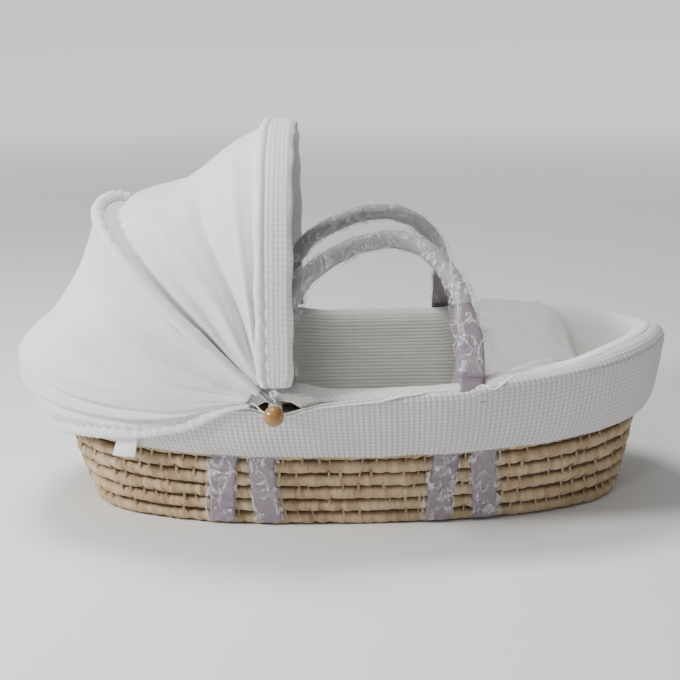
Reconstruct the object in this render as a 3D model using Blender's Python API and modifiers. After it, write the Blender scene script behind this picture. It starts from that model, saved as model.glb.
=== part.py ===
"""Moses basket: a coiled wicker cradle with carrying straps, padded bedding and a folding hood.

Frame: metres, +Z up, origin at the middle of the flat underside. +X points to the foot end,
-X to the head end under the hood, and -Y is the near long side. Pieces that come in pairs
carry the names near (-Y) and far (+Y).
"""
import math

import bmesh
import bpy
from mathutils import Matrix, Vector

# ---- driving dimensions (metres, degrees) -------------------------------------------------
GAP = 0.0004                 # clearance left between touching pieces
PLAN_POWER = 2.4             # superellipse power of the basket's plan
RIM_HALF_LENGTH = 0.410
RIM_HALF_WIDTH = 0.222
RIM_HEIGHT = 0.200           # at mid length
RIM_RISE = 0.030             # extra height of the rim at the two ends
BASE_HALF_LENGTH = 0.358
BASE_HALF_WIDTH = 0.147
BASE_SHIFT = 0.010           # the floor sits this far towards the foot end
WALL_BOW = 0.8               # below 1 the sides bulge outwards
WALL_THICKNESS = 0.014
RIM_COIL_RADIUS = 0.0075
RING_SEGMENTS = 48
WALL_ROWS = (0.0, 0.06, 0.15, 0.30, 0.48, 0.66, 0.84)

STRAP_WIDTH = 0.032
STRAP_THICKNESS = 0.0016
STRAP_FLOOR_X = {"head": -0.136, "foot": 0.142}     # middle of each pair at the floor
STRAP_TOP_X = {"head": -0.098, "foot": 0.146}       # and under the rim, below the handle's foot
STRAP_TOP_SPREAD = 0.0172    # half the distance between the two straps of a pair at the rim
STRAP_FOOT_SPREAD = 0.0315   # and where they turn under the floor
STRAP_TOP = 0.88             # how far up the wall the straps reach
CHANNEL_DEPTH = 0.0023

COVERLET_HEAD_X = -0.060
COVERLET_FOOT_X = 0.322
COVERLET_FOLD_X = 0.095         # where the coverlet starts to rise
COVERLET_INSET = 0.0335      # from the outside of the wall to the coverlet's border

HANDLE_X = 0.147             # foot-end foot of each carrying loop
HANDLE_HEAD_X = -0.075       # head-end foot
HANDLE_HINGE_RISE = 0.0102   # hinge line above the rim
HANDLE_LEAN = 31.0           # degrees from upright, inwards
CORE_RADIUS = 0.0052
GRIP_RADIUS = 0.0120
GRIP_BORE = 0.0062
FILM_RADIUS = 0.0130
FILM_THICKNESS = 0.0006
FOOT_HALF_WIDTH = 0.0165
FOOT_HALF_THICKNESS = 0.0020

PIVOT_X = -0.089
PIVOT_Z = 0.186
BOW_POWER = 2.6
REAR_BOW_RADIUS = 0.318
REAR_BOW_HALF_WIDTH = 0.2362
FRONT_BOW_RADIUS = 0.312
FRONT_BOW_HALF_WIDTH = 0.2422
FRONT_BOW_LEAN = -0.6        # degrees back from upright
REAR_BOW_LEAN = 46.9
BOW_WIRE_RADIUS = 0.0020
EYE_RADIUS = 0.0085
EYE_THICKNESS = 0.0030
CASING_RADIUS = 0.0080
CASING_BORE = 0.0027
CUFF_HALF_WIDTH = 0.0225
CUFF_THICKNESS = 0.0032
CUFF_START = 0.026           # distance from the pivot line where the cuff begins
CASING_START = 0.045
PANEL_THICKNESS = 0.0018
PANEL_SAG = 0.014

BOLT_RADIUS = 0.0030
BOLT_CLEARANCE = 0.0034
BOLT_HEAD_RADIUS = 0.0065
WASHER_RADIUS = 0.0080
KNOB_LENGTH = 0.0350
KNOB_RADIUS = 0.0120
KNOB_START = 0.2506          # distance of the knob's inner face from the long axis
CORD_RADIUS = 0.0011
TIE_LOOP = 0.0050            # radius of a tie's turn round its bolt
CUFF_TIE_LEVEL = 0.2467      # distances of the two turns from the long axis
HEM_TIE_LEVEL = 0.2491
HEM_RADIUS = 0.0040
ROUND = 16                   # sides of small round pieces

SIDES = (("near", -1), ("far", 1))

parts = bpy.data.collections.new("moses_basket")
cutters = bpy.data.collections.new("cutters")


# ---- scene and material helpers -----------------------------------------------------------
def clear_scene():
    for obj in list(bpy.data.objects):
        bpy.data.objects.remove(obj, do_unlink=True)
    bpy.context.scene.collection.children.link(parts)
    bpy.context.scene.collection.children.link(cutters)


def make_material(name, color, roughness, metallic=0.0, alpha=1.0):
    material = bpy.data.materials.new(name)
    material.use_nodes = True
    shader = material.node_tree.nodes["Principled BSDF"]
    shader.inputs["Base Color"].default_value = (*color, 1.0)
    shader.inputs["Roughness"].default_value = roughness
    shader.inputs["Metallic"].default_value = metallic
    shader.inputs["Alpha"].default_value = alpha
    material.diffuse_color = (*color, alpha)
    return material


def add_object(name, data, material, collection=None):
    obj = bpy.data.objects.new(name, data)
    (collection or parts).objects.link(obj)
    if material:
        data.materials.append(material)
    return obj


def finish_mesh(name, bm, material, smooth=True):
    bmesh.ops.recalc_face_normals(bm, faces=bm.faces)
    mesh = bpy.data.meshes.new(name)
    bm.to_mesh(mesh)
    bm.free()
    if smooth:
        mesh.shade_smooth()
        mesh.set_sharp_from_angle(angle=math.radians(35))
    return add_object(name, mesh, material)


def make_empty(name, location, rotation=(0, 0, 0)):
    empty = bpy.data.objects.new(name, None)
    empty.location = location
    empty.rotation_euler = rotation
    empty.empty_display_size = 0.03
    parts.objects.link(empty)
    return empty


def as_cutter(obj):
    for collection in list(obj.users_collection):
        collection.objects.unlink(obj)
    cutters.objects.link(obj)
    obj.hide_render = True
    obj.display_type = "WIRE"
    return obj


def add_boolean(obj, other, operation="DIFFERENCE"):
    modifier = obj.modifiers.new(operation.lower(), "BOOLEAN")
    modifier.operation = operation
    modifier.solver = "EXACT"
    modifier.object = other


def cylinder_along_y(name, radius, y_start, y_end, x=PIVOT_X, z=PIVOT_Z, material=None):
    """A round bar between two Y positions."""
    bpy.ops.mesh.primitive_cylinder_add(
        vertices=ROUND, radius=radius, depth=abs(y_end - y_start),
        location=(x, (y_start + y_end) / 2, z), rotation=(math.pi / 2, 0, 0))
    obj = bpy.context.object
    obj.name = name
    obj.data.name = name
    for collection in list(obj.users_collection):
        collection.objects.unlink(obj)
    parts.objects.link(obj)
    obj.data.shade_smooth()
    obj.data.set_sharp_from_angle(angle=math.radians(35))
    if material:
        obj.data.materials.append(material)
    return obj


def ring_along_y(name, outer, inner, y_start, y_end, material):
    """A flat washer: a short bar with a hole, both on the hood's pivot line."""
    washer = cylinder_along_y(name, outer, y_start, y_end, material=material)
    bore = as_cutter(cylinder_along_y(name + "_hole", inner, y_start - 0.005, y_end + 0.005))
    add_boolean(washer, bore)
    return washer


# ---- lofting ------------------------------------------------------------------------------
def loft(name, rows, material, close_rows=True, close_stack=False, cap=False):
    """Skin a stack of point rows; rows may be rings, and the stack may close on itself."""
    bm = bmesh.new()
    grid = [[bm.verts.new(point) for point in row] for row in rows]
    count = len(rows[0])
    for index in range(len(grid) if close_stack else len(grid) - 1):
        lower, upper = grid[index], grid[(index + 1) % len(grid)]
        for column in range(count if close_rows else count - 1):
            following = (column + 1) % count
            bm.faces.new((lower[column], lower[following], upper[following], upper[column]))
    if cap:
        bm.faces.new(grid[0])
        bm.faces.new(grid[-1])
    return finish_mesh(name, bm, material)


def tube(name, points, radius, material, cyclic=False, radii=None, wall=None, sides=8):
    """A round bar along a smooth run of points; wall gives a hollow sleeve its thickness."""
    curve = bpy.data.curves.new(name, "CURVE")
    curve.dimensions = "3D"
    curve.bevel_depth = radius
    curve.bevel_resolution = (sides - 4) // 2
    curve.use_fill_caps = wall is None and not cyclic
    spline = curve.splines.new("POLY")
    spline.points.add(len(points) - 1)
    spline.use_cyclic_u = cyclic
    spline.use_smooth = True
    for index, point in enumerate(points):
        spline.points[index].co = (*point, 1.0)
        spline.points[index].radius = radii[index] if radii else 1.0
    obj = add_object(name, curve, material)
    if wall:
        sleeve = obj.modifiers.new("sleeve", "SOLIDIFY")
        sleeve.thickness = wall
        sleeve.offset = -1.0
    return obj


def curve_to_mesh(obj):
    """Replace a curve by its mesh with welded caps, so that it can be cut or joined."""
    bpy.context.view_layer.update()
    evaluated = obj.evaluated_get(bpy.context.evaluated_depsgraph_get())
    mesh = bpy.data.meshes.new_from_object(evaluated)
    bm = bmesh.new()
    bm.from_mesh(mesh)
    bmesh.ops.remove_doubles(bm, verts=bm.verts, dist=0.00001)
    bmesh.ops.recalc_face_normals(bm, faces=bm.faces)
    bm.to_mesh(mesh)
    bm.free()
    name = obj.name
    world = obj.matrix_world.copy()
    bpy.data.objects.remove(obj, do_unlink=True)
    mesh.name = name
    new = bpy.data.objects.new(name, mesh)
    new.matrix_world = world
    parts.objects.link(new)
    return new


def smooth_path(points, steps):
    """Points of a Catmull-Rom curve through the given ones."""
    padded = [2 * points[0] - points[1], *points, 2 * points[-1] - points[-2]]
    path = []
    for index in range(1, len(padded) - 2):
        before, start, end, after = padded[index - 1:index + 3]
        for step in range(steps):
            t = step / steps
            path.append(0.5 * (2 * start + (end - before) * t
                               + (2 * before - 5 * start + 4 * end - after) * t ** 2
                               + (3 * start - before - 3 * end + after) * t ** 3))
    return path + [points[-1]]


# ---- the basket's shape -------------------------------------------------------------------
def mix(a, b, share):
    return a + (b - a) * share


def superellipse(angle, half_x, half_y):
    cosine, sine = math.cos(angle), math.sin(angle)
    x = math.copysign(abs(cosine) ** (2 / PLAN_POWER) * half_x, cosine)
    y = math.copysign(abs(sine) ** (2 / PLAN_POWER) * half_y, sine)
    return x, y


def rim_height(x):
    return RIM_HEIGHT + RIM_RISE * (abs(x) / RIM_HALF_LENGTH) ** 2.5


def wall_point(angle, up, inset=0.0, lift=0.0):
    """A point of the basket's side: up runs from 0 at the floor to 1 at the rim."""
    spread = up ** WALL_BOW
    x, y = superellipse(angle, mix(BASE_HALF_LENGTH, RIM_HALF_LENGTH, spread) - inset,
                        mix(BASE_HALF_WIDTH, RIM_HALF_WIDTH, spread) - inset)
    rim_x = superellipse(angle, RIM_HALF_LENGTH, RIM_HALF_WIDTH)[0]
    return Vector((x + BASE_SHIFT * (1 - spread), y, up * rim_height(rim_x) + lift))


def wall_point_at(x, up, side, outset=0.0):
    """The point of the side that has this X, on the near (-1) or far (1) side."""
    spread = up ** WALL_BOW
    half_x = mix(BASE_HALF_LENGTH, RIM_HALF_LENGTH, spread) + outset
    half_y = mix(BASE_HALF_WIDTH, RIM_HALF_WIDTH, spread) + outset
    share = min(1.0, abs(x - BASE_SHIFT * (1 - spread)) / half_x)
    y = half_y * (1 - share ** PLAN_POWER) ** (1 / PLAN_POWER)
    return Vector((x, side * y, up * rim_height(share * RIM_HALF_LENGTH)))


def ring(up, inset=0.0, lift=0.0):
    return [wall_point(2 * math.pi * index / RING_SEGMENTS, up, inset, lift)
            for index in range(RING_SEGMENTS)]


def ring_body(name, profile, material):
    """A body that runs all round the basket; the profile lists (up, inset, lift)."""
    return loft(name, [ring(*point) for point in profile], material, close_stack=True)


# ---- wicker -------------------------------------------------------------------------------
def smooth_share(value):
    share = min(1.0, max(0.0, value))
    return share * share * (3 - 2 * share)


def strap_x(end, pair, up):
    """Middle of a cross strap at this height; straps of a pair spread towards the floor."""
    middle = mix(STRAP_FLOOR_X[end], STRAP_TOP_X[end], smooth_share((up - 0.45) / (STRAP_TOP - 0.45)))
    return middle + pair * mix(STRAP_FOOT_SPREAD, STRAP_TOP_SPREAD, up / STRAP_TOP)


def make_strap_channels():
    """Bars that leave shallow channels under the floor, where the cross straps pass."""
    channels = []
    for end in STRAP_FLOOR_X:
        for pair in (-1, 1):
            bpy.ops.mesh.primitive_cube_add(size=1.0, location=(strap_x(end, pair, 0), 0, 0))
            bar = bpy.context.object
            bar.name = "strap_channel"
            bar.data.transform(Matrix.Diagonal((STRAP_WIDTH + 0.0012, 0.5, 2 * CHANNEL_DEPTH, 1)))
            channels.append(as_cutter(bar))
    return channels


def make_wicker(material):
    channels = make_strap_channels()
    top_lift = -(2 * RIM_COIL_RADIUS + GAP)
    outer = [(up, 0.0, 0.0) for up in WALL_ROWS] + [(1.0, 0.0045, top_lift)]
    inner = [(up, inset + WALL_THICKNESS, lift) for up, inset, lift in reversed(outer)]
    wall = ring_body("basket_wall", outer + inner, material)

    floor_rows = [ring(0.0, WALL_THICKNESS + GAP), ring(0.06, WALL_THICKNESS + GAP)]
    floor = loft("basket_floor", floor_rows, material, cap=True)

    coil_profile = []
    for index in range(8):
        angle = 2 * math.pi * index / 8
        coil_profile.append((1.0, RIM_COIL_RADIUS * (1 - math.cos(angle)),
                             RIM_COIL_RADIUS * (math.sin(angle) - 1)))
    coil = ring_body("rim_coil", coil_profile, material)

    for side_name, side in SIDES:
        hole = as_cutter(cylinder_along_y("bolt_hole_" + side_name, BOLT_CLEARANCE,
                                          side * 0.17, side * 0.25))
        add_boolean(wall, hole)
        add_boolean(coil, hole)
    for channel in channels:
        add_boolean(wall, channel)
        add_boolean(floor, channel)


def turn_under_floor(foot_x, side, skin):
    """Section of a cross strap where it turns from the wall into its channel under the floor."""
    up = (GAP + STRAP_THICKNESS) / RIM_HEIGHT
    section = []
    for edge, outset, height in ((-1, skin, GAP + STRAP_THICKNESS), (1, skin, GAP + STRAP_THICKNESS),
                                 (1, skin + STRAP_THICKNESS, GAP), (-1, skin + STRAP_THICKNESS, GAP)):
        point = wall_point_at(foot_x + edge * STRAP_WIDTH / 2, up, side, outset)
        section.append(Vector((point.x, point.y, height)))
    return section


def make_cross_straps(material):
    """Four webbing straps, each down one side, under the floor and up the other side."""
    rows_up = [up for up in WALL_ROWS if up > 0] + [STRAP_TOP]
    skin = GAP + 0.0002
    for end in STRAP_FLOOR_X:
        for pair, pair_name in ((-1, "rear"), (1, "front")):
            stations = []
            for side in (-1, 1):
                climb = [turn_under_floor(strap_x(end, pair, 0), side, skin)]
                for up in rows_up:
                    middle = strap_x(end, pair, up)
                    section = [wall_point_at(middle + edge * STRAP_WIDTH / 2, up, side, outset)
                               for edge, outset in ((-1, skin), (1, skin), (1, skin + STRAP_THICKNESS),
                                                    (-1, skin + STRAP_THICKNESS))]
                    climb.append(section)
                stations = climb[::-1] if side < 0 else stations + climb
            loft("strap_%s_%s" % (end, pair_name), stations, material, cap=True)


# ---- bedding ------------------------------------------------------------------------------
def make_mattress(material):
    rows = [ring(0.075, inset, lift) for inset, lift in
            ((0.021, 0.0), (0.0175, 0.004), (0.0165, 0.012), (0.0175, 0.021), (0.021, 0.025))]
    loft("mattress", rows, material, cap=True)


def coverlet_rim(x):
    """Height of the coverlet's border: low at its head edge, near the rim towards the foot end."""
    return mix(0.066, 0.200, smooth_share((x - COVERLET_FOLD_X) / 0.08))


def coverlet_trough(x):
    """Height of the coverlet along its middle."""
    return mix(0.064, 0.186, smooth_share((x - COVERLET_FOLD_X) / 0.08))


def coverlet_border(angle, share_up, share_in, floor_z):
    """A border point, between the mattress (0) and the coverlet's edge (1)."""
    height = floor_z
    for _ in range(3):
        point = wall_point(angle, height / RIM_HEIGHT, COVERLET_INSET)
        point.x = max(COVERLET_HEAD_X, min(COVERLET_FOOT_X, point.x))
        height = mix(floor_z, coverlet_rim(point.x), share_up)
    middle = (COVERLET_HEAD_X + COVERLET_FOOT_X) / 2
    return Vector((mix(middle, point.x, share_in), point.y * share_in, height))


def make_coverlet(material):
    """A thick quilt: flat on the mattress, then folded up so that it fills the foot end."""
    floor_z = 0.0445
    angles = [2 * math.pi * index / RING_SEGMENTS for index in range(RING_SEGMENTS)]
    rows = [[coverlet_border(angle, up, share, floor_z) for angle in angles]
            for up, share in ((0.0, 0.95), (0.45, 1.0), (0.92, 1.0), (1.0, 0.97))]
    edge_row = rows[-1]
    middle = (COVERLET_HEAD_X + COVERLET_FOOT_X) / 2
    for share in (0.88, 0.74, 0.60, 0.44, 0.28, 0.12):
        row = []
        for edge in edge_row:
            x = mix(middle, edge.x, share)
            height = mix(coverlet_trough(x), coverlet_rim(x), share ** 2)
            row.append(Vector((x, edge.y * share, height)))
        rows.append(row)
    loft("coverlet", rows, material, cap=True)


def make_liner(material):
    """Padded lining inside the wall, rolled over the top of the rim."""
    inside = WALL_THICKNESS + 0.003
    profile = [(0.24, inside), (0.44, inside), (0.66, inside), (0.88, inside + 0.001)]
    profile = [(up, inset, 0.0) for up, inset in profile]
    profile += [(1.0, 0.0172, -0.0075), (1.0, 0.0150, 0.0006), (1.0, 0.0075, 0.0012)]
    profile += [(1.0, 0.0075, 0.0050), (1.0, 0.0130, 0.0064), (1.0, 0.0200, 0.0052)]
    profile += [(1.0, 0.0256, -0.0040)]
    profile += [(0.88, 0.0265, 0.0), (0.60, 0.0255, 0.0), (0.24, 0.0245, 0.0)]
    liner = ring_body("liner", profile, material)
    for side_name, side in SIDES:
        pocket = as_cutter(cylinder_along_y("bolt_pocket_" + side_name, 0.0100,
                                            side * 0.1910, side * 0.2300))
        add_boolean(liner, pocket)


def make_skirt(material):
    """Outer valance of the dressing, from the rim down over the upper half of the wall."""
    profile = [(0.56, -0.0045, 0.0), (0.72, -0.0034, 0.0), (0.92, -0.0034, 0.0),
               (1.0, -0.0015, -0.0010), (1.0, 0.0064, 0.0012), (1.0, 0.0066, 0.0056),
               (1.0, -0.0015, 0.0064), (1.0, -0.0095, 0.0020), (1.0, -0.0135, -0.0080),
               (0.88, -0.0142, 0.0), (0.72, -0.0140, 0.0), (0.60, -0.0115, 0.0), (0.55, -0.0080, 0.0)]
    skirt = ring_body("skirt", profile, material)
    for side_name, side in SIDES:
        for foot_x in (HANDLE_X, HANDLE_HEAD_X):
            bpy.ops.mesh.primitive_cube_add(size=1.0)
            slot = bpy.context.object
            slot.name = "handle_slot"
            slot.data.transform(Matrix.Diagonal((0.040, 0.0200, 0.030, 1)))
            slot.location = (foot_x, side * (hinge_y() + 0.0020), rim_height(foot_x) + 0.010)
            add_boolean(skirt, as_cutter(slot))
        bpy.ops.mesh.primitive_cylinder_add(vertices=4, radius=1.0, depth=0.06,
                                            rotation=(math.pi / 2, 0, 0))
        diamond = bpy.context.object
        diamond.name = "knob_opening"
        diamond.location = (PIVOT_X + 0.005, side * 0.225, PIVOT_Z)
        diamond.scale = (0.030, 0.0095, 1.0)
        add_boolean(skirt, as_cutter(diamond))


# ---- carrying handles ---------------------------------------------------------------------
def hinge_y():
    return wall_point_at(HANDLE_X, 1.0, 1).y + 0.0008


def hinge_z():
    return rim_height(HANDLE_X) + HANDLE_HINGE_RISE


def handle_path():
    """Centre line of the loop in its own upright plane, from the foot-end leg to the head-end leg."""
    shape = ((HANDLE_X, 0.0), (0.1475, 0.028), (0.146, 0.060), (0.140, 0.098), (0.125, 0.133),
             (0.101, 0.162), (0.072, 0.177), (0.047, 0.179), (0.015, 0.172), (-0.022, 0.154),
             (-0.052, 0.130), (-0.070, 0.099), (-0.079, 0.061), (-0.078, 0.028), (HANDLE_HEAD_X, 0.0))
    return [Vector((x, 0.0, height)) for x, height in shape]


def make_handle(side_name, side, webbing, fabric, film):
    """One carrying loop: a webbing core, the padded grip round it and the film round that."""
    lean = side * math.radians(HANDLE_LEAN)
    hinge = make_empty("hinge_handle_" + side_name, (0, side * hinge_y(), hinge_z()), (lean, 0, 0))
    path = smooth_path(handle_path(), 2)
    lengths = [0.0]
    for start, end in zip(path, path[1:]):
        lengths.append(lengths[-1] + (end - start).length)
    total = lengths[-1]

    rows = []
    for index, point in enumerate(path):
        before = path[max(0, index - 1)]
        after = path[min(len(path) - 1, index + 1)]
        along = (after - before).normalized()
        across = Vector((-along.z, 0.0, along.x))
        from_foot = min(lengths[index], total - lengths[index])
        share = min(1.0, max(0.0, (from_foot - 0.012) / 0.022))
        half_width = mix(FOOT_HALF_WIDTH, CORE_RADIUS, share)
        half_depth = mix(FOOT_HALF_THICKNESS, CORE_RADIUS, share)
        section = []
        for corner in range(8):
            angle = 2 * math.pi * (corner + 0.5) / 8
            power = mix(0.45, 1.0, share)
            cosine, sine = math.cos(angle), math.sin(angle)
            section.append(point
                           + across * half_width * math.copysign(abs(cosine) ** power, cosine)
                           + Vector((0, 1, 0)) * half_depth * math.copysign(abs(sine) ** power, sine))
        rows.append(section)
    core = loft("handle_core_" + side_name, rows, webbing, cap=True)
    core.parent = hinge

    for name, radius, wall, start, material in (
            ("handle_grip_", GRIP_RADIUS, GRIP_RADIUS - GRIP_BORE, 0.040, fabric),
            ("handle_film_", FILM_RADIUS, FILM_THICKNESS, 0.046, film)):
        run = [point for point, length in zip(path, lengths) if start < length < total - start]
        sleeve = tube(name + side_name, run, radius, material, wall=wall)
        sleeve.parent = hinge


# ---- hood ---------------------------------------------------------------------------------
def bow_point(turn, half_width, radius, outward=0.0, along=0.0):
    """A point of an upright bow seen from its pivot line; turn runs 0 to 1 from near to far."""
    def raw(value):
        angle = math.pi * value
        y = -math.copysign(abs(math.cos(angle)) ** (2 / BOW_POWER) * half_width, math.cos(angle))
        return Vector((0.0, y, abs(math.sin(angle)) ** (2 / BOW_POWER) * radius))
    step = 0.002
    point = raw(turn)
    forward = raw(min(1.0, turn + step)) - raw(max(0.0, turn - step))
    normal = Vector((0.0, -forward.z, forward.y)).normalized()
    return point + normal * outward + Vector((along, 0.0, 0.0))


def turn_at(distance, radius):
    """The turn at which a bow is this far from its pivot line."""
    return math.asin((distance / radius) ** (BOW_POWER / 2)) / math.pi


def turns(start, count):
    return [mix(start, 1 - start, index / (count - 1)) for index in range(count)]


def bow_frame(name, lean):
    return make_empty(name, (PIVOT_X, 0, PIVOT_Z), (0, -math.radians(lean), 0))


def make_bow(name, half_width, radius, lean, material):
    """A bent wire with a flattened eye at each end, on the two pivot bolts."""
    start = turn_at(EYE_RADIUS - 0.0005, radius)
    wire = tube(name, [bow_point(turn, half_width, radius) for turn in turns(start, 25)],
                BOW_WIRE_RADIUS, material)
    bow = curve_to_mesh(wire)
    bow.data.shade_smooth()
    bow.data.set_sharp_from_angle(angle=math.radians(35))
    for side_name, side in SIDES:
        faces = [side * (half_width + step * EYE_THICKNESS / 2) for step in (-1, 1)]
        eye = as_cutter(cylinder_along_y("%s_eye_%s" % (name, side_name), EYE_RADIUS, *faces, x=0, z=0))
        add_boolean(bow, eye, "UNION")
        hole = as_cutter(cylinder_along_y("%s_hole_%s" % (name, side_name), BOLT_CLEARANCE,
                                          faces[0] - side * 0.004, faces[1] + side * 0.004, x=0, z=0))
        add_boolean(bow, hole)
        frame = bow_frame("%s_cut_frame_%s" % (name, side_name), 0)
        frame.rotation_euler = (0, -math.radians(lean), 0)
        eye.parent = frame
        hole.parent = frame
    return bow


def make_hood_frame(steel, casing_cloth, cuff_cloth, webbing):
    rear = bow_frame("hinge_rear_bow", REAR_BOW_LEAN)
    front = bow_frame("hinge_front_bow", FRONT_BOW_LEAN)

    rear_bow = make_bow("rear_bow", REAR_BOW_HALF_WIDTH, REAR_BOW_RADIUS, REAR_BOW_LEAN, steel)
    rear_bow.parent = rear
    front_bow = make_bow("front_bow", FRONT_BOW_HALF_WIDTH, FRONT_BOW_RADIUS, FRONT_BOW_LEAN, steel)
    front_bow.parent = front

    start = turn_at(CASING_START, REAR_BOW_RADIUS)
    run = turns(start, 23)
    taper = [mix(0.68, 1.0, min(1.0, 9 * min(turn - start, 1 - start - turn))) for turn in run]
    bore = min(taper) * CASING_RADIUS - CASING_BORE
    middle_line = [bow_point(turn, REAR_BOW_HALF_WIDTH, REAR_BOW_RADIUS) for turn in run]
    casing = tube("rear_bow_casing", middle_line, CASING_RADIUS, casing_cloth, radii=taper, wall=bore)
    casing.parent = rear

    inner = BOW_WIRE_RADIUS + 0.0014
    outer = inner + CUFF_THICKNESS
    rows = []
    for turn in turns(turn_at(CUFF_START, FRONT_BOW_RADIUS), 29):
        rows.append([bow_point(turn, FRONT_BOW_HALF_WIDTH, FRONT_BOW_RADIUS, outward, along)
                     for outward, along in ((inner, -CUFF_HALF_WIDTH), (inner, CUFF_HALF_WIDTH),
                                            (outer, CUFF_HALF_WIDTH), (outer, -CUFF_HALF_WIDTH))])
    cuff = loft("hood_cuff", rows, cuff_cloth, cap=True)
    cuff.parent = front

    for side_name, side in SIDES:
        level = side * CUFF_TIE_LEVEL
        route = [Vector((0.0, level, CUFF_START - 0.0006)), Vector((0.0012, level, 0.0180)),
                 Vector((0.0038, level, 0.0090))]
        route += [Vector((TIE_LOOP * math.cos(angle), level, TIE_LOOP * math.sin(angle)))
                  for angle in (math.radians(-30 * step) for step in range(9))]
        tie = tube("cuff_tie_" + side_name, route, CORD_RADIUS, webbing, sides=6)
        tie.parent = front


def from_bow(lean, point):
    """Turn a point of an upright bow back by lean and move it to the pivot line."""
    return Matrix.Rotation(-math.radians(lean), 4, "Y") @ point + Vector((PIVOT_X, 0.0, PIVOT_Z))


def thicken(obj, thickness):
    shell = obj.modifiers.new("cloth", "SOLIDIFY")
    shell.thickness = thickness
    shell.offset = 0.0


def make_front_panel(material):
    """Cloth stretched between the two bows."""
    rows = []
    for turn in turns(turn_at(0.052, FRONT_BOW_RADIUS), 23):
        ahead = from_bow(FRONT_BOW_LEAN, bow_point(turn, FRONT_BOW_HALF_WIDTH, FRONT_BOW_RADIUS, 0.0035,
                                                   -CUFF_HALF_WIDTH - 0.0020))
        behind = from_bow(REAR_BOW_LEAN, bow_point(turn, REAR_BOW_HALF_WIDTH, REAR_BOW_RADIUS, 0.0,
                                                   CASING_RADIUS + 0.0020))
        inwards = (Vector((PIVOT_X, 0.0, PIVOT_Z)) - (ahead + behind) / 2).normalized()
        sag = PANEL_SAG * math.sin(math.pi * turn)
        rows.append([ahead.lerp(behind, step / 7) + inwards * sag * math.sin(math.pi * step / 7)
                     for step in range(8)])
    thicken(loft("hood_front_panel", rows, material, close_rows=False), PANEL_THICKNESS)


HEM_END_X = -0.121           # the hem stops here, just behind the pivots
HEM_BACK_Z = 0.106
HEM_SLOPE = 0.240
HEM_END_RISE = 0.013         # extra rise where the hem is drawn up to the pivots


def hem_height(x):
    drawn_up = HEM_END_RISE * smooth_share((x + 0.20) / 0.07)
    return HEM_BACK_Z + max(0.0, x + 0.40) * HEM_SLOPE + drawn_up


def hem_angle(turn):
    """Plan angle along the hem; turn runs 0 to 1 round the head end, near to far."""
    end_share = abs(HEM_END_X) / RIM_HALF_LENGTH
    half_arc = math.pi - math.acos(-end_share ** (PLAN_POWER / 2))
    return math.pi + mix(half_arc, -half_arc, turn)


def hem_point(turn):
    """Middle line of the hood's hem."""
    angle = hem_angle(turn)
    probe = wall_point(angle, 0.8)
    height = hem_height(probe.x)
    over_skirt = min(1.0, max(0.0, (height - 0.092) / 0.025))
    up = height / rim_height(probe.x)
    return wall_point(angle, up, -mix(0.0105, 0.0198, over_skirt))


def make_hem(material):
    path = [hem_point(index / 32) for index in range(33)]
    tube("hood_hem", path, HEM_RADIUS, material)


def make_rear_panel(material):
    """Cloth from the rear bow over the head end of the basket and down to the hem."""
    rows = []
    start = turn_at(0.058, REAR_BOW_RADIUS)
    for index in range(27):
        share = index / 26
        middle = math.sin(math.pi * share)
        top = from_bow(REAR_BOW_LEAN, bow_point(mix(start, 1 - start, share), REAR_BOW_HALF_WIDTH,
                                                REAR_BOW_RADIUS, 0.0, -CASING_RADIUS - 0.0020))
        hem = hem_point(mix(0.012, 0.988, share)) + Vector((0, 0, HEM_RADIUS + 0.0032))
        over = wall_point(hem_angle(share), 0.96, -mix(0.0215, 0.0325, middle))
        outwards = Vector((over.x + 0.10, over.y, 0)).normalized()
        row = []
        for step in range(5):
            along = step / 5
            sag = 0.018 * middle * math.sin(math.pi * along)
            row.append(top.lerp(over, along) - outwards * sag * 0.7 - Vector((0, 0, sag * 0.7)))
        control = hem.lerp(over, 0.5) + outwards * mix(0.001, 0.022, middle)
        for step in range(5):
            along = step / 4
            row.append(over.lerp(control, along).lerp(control.lerp(hem, along), along))
        rows.append(row)
    thicken(loft("hood_rear_panel", rows, material, close_rows=False), PANEL_THICKNESS)


def make_hem_ties(material):
    """The hem's drawstring ends, led forward and wound once round the pivot bolts."""
    for side_name, side in SIDES:
        first, second = (0.0, 0.03) if side < 0 else (1.0, 0.97)
        hem_end = hem_point(first)
        ahead = (hem_end - hem_point(second)).normalized()
        level = side * HEM_TIE_LEVEL
        route = smooth_path([hem_end + ahead * 0.0006, hem_end + ahead * 0.0060,
                             Vector((PIVOT_X - 0.0180, side * 0.2434, PIVOT_Z - 0.0100)),
                             Vector((PIVOT_X - 0.0090, level, PIVOT_Z - 0.0062))], 2)
        for step in range(9):
            angle = math.radians(30 * step - 90)
            route.append(Vector((PIVOT_X + TIE_LOOP * math.cos(angle), level,
                                 PIVOT_Z + TIE_LOOP * math.sin(angle))))
        tube("hem_tie_" + side_name, route, CORD_RADIUS, material, sides=6)


# ---- pivot hardware -----------------------------------------------------------------------
def make_pivot_hardware(steel):
    for side_name, side in SIDES:
        bolt = cylinder_along_y("pivot_bolt_" + side_name, BOLT_RADIUS, side * 0.1942,
                                side * (KNOB_START + 0.0140), material=steel)
        head = as_cutter(cylinder_along_y("bolt_head_" + side_name, BOLT_HEAD_RADIUS, side * 0.1914,
                                          side * 0.1942))
        add_boolean(bolt, head, "UNION")
        ring_along_y("inner_washer_" + side_name, WASHER_RADIUS, BOLT_CLEARANCE, side * 0.1946,
                     side * 0.1958, steel)
        ring_along_y("spacer_washer_" + side_name, 0.0070, BOLT_CLEARANCE, side * 0.2380,
                     side * 0.2404, steel)
        ring_along_y("outer_washer_" + side_name, 0.0070, BOLT_CLEARANCE, side * 0.2440,
                     side * 0.2452, steel)


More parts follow.
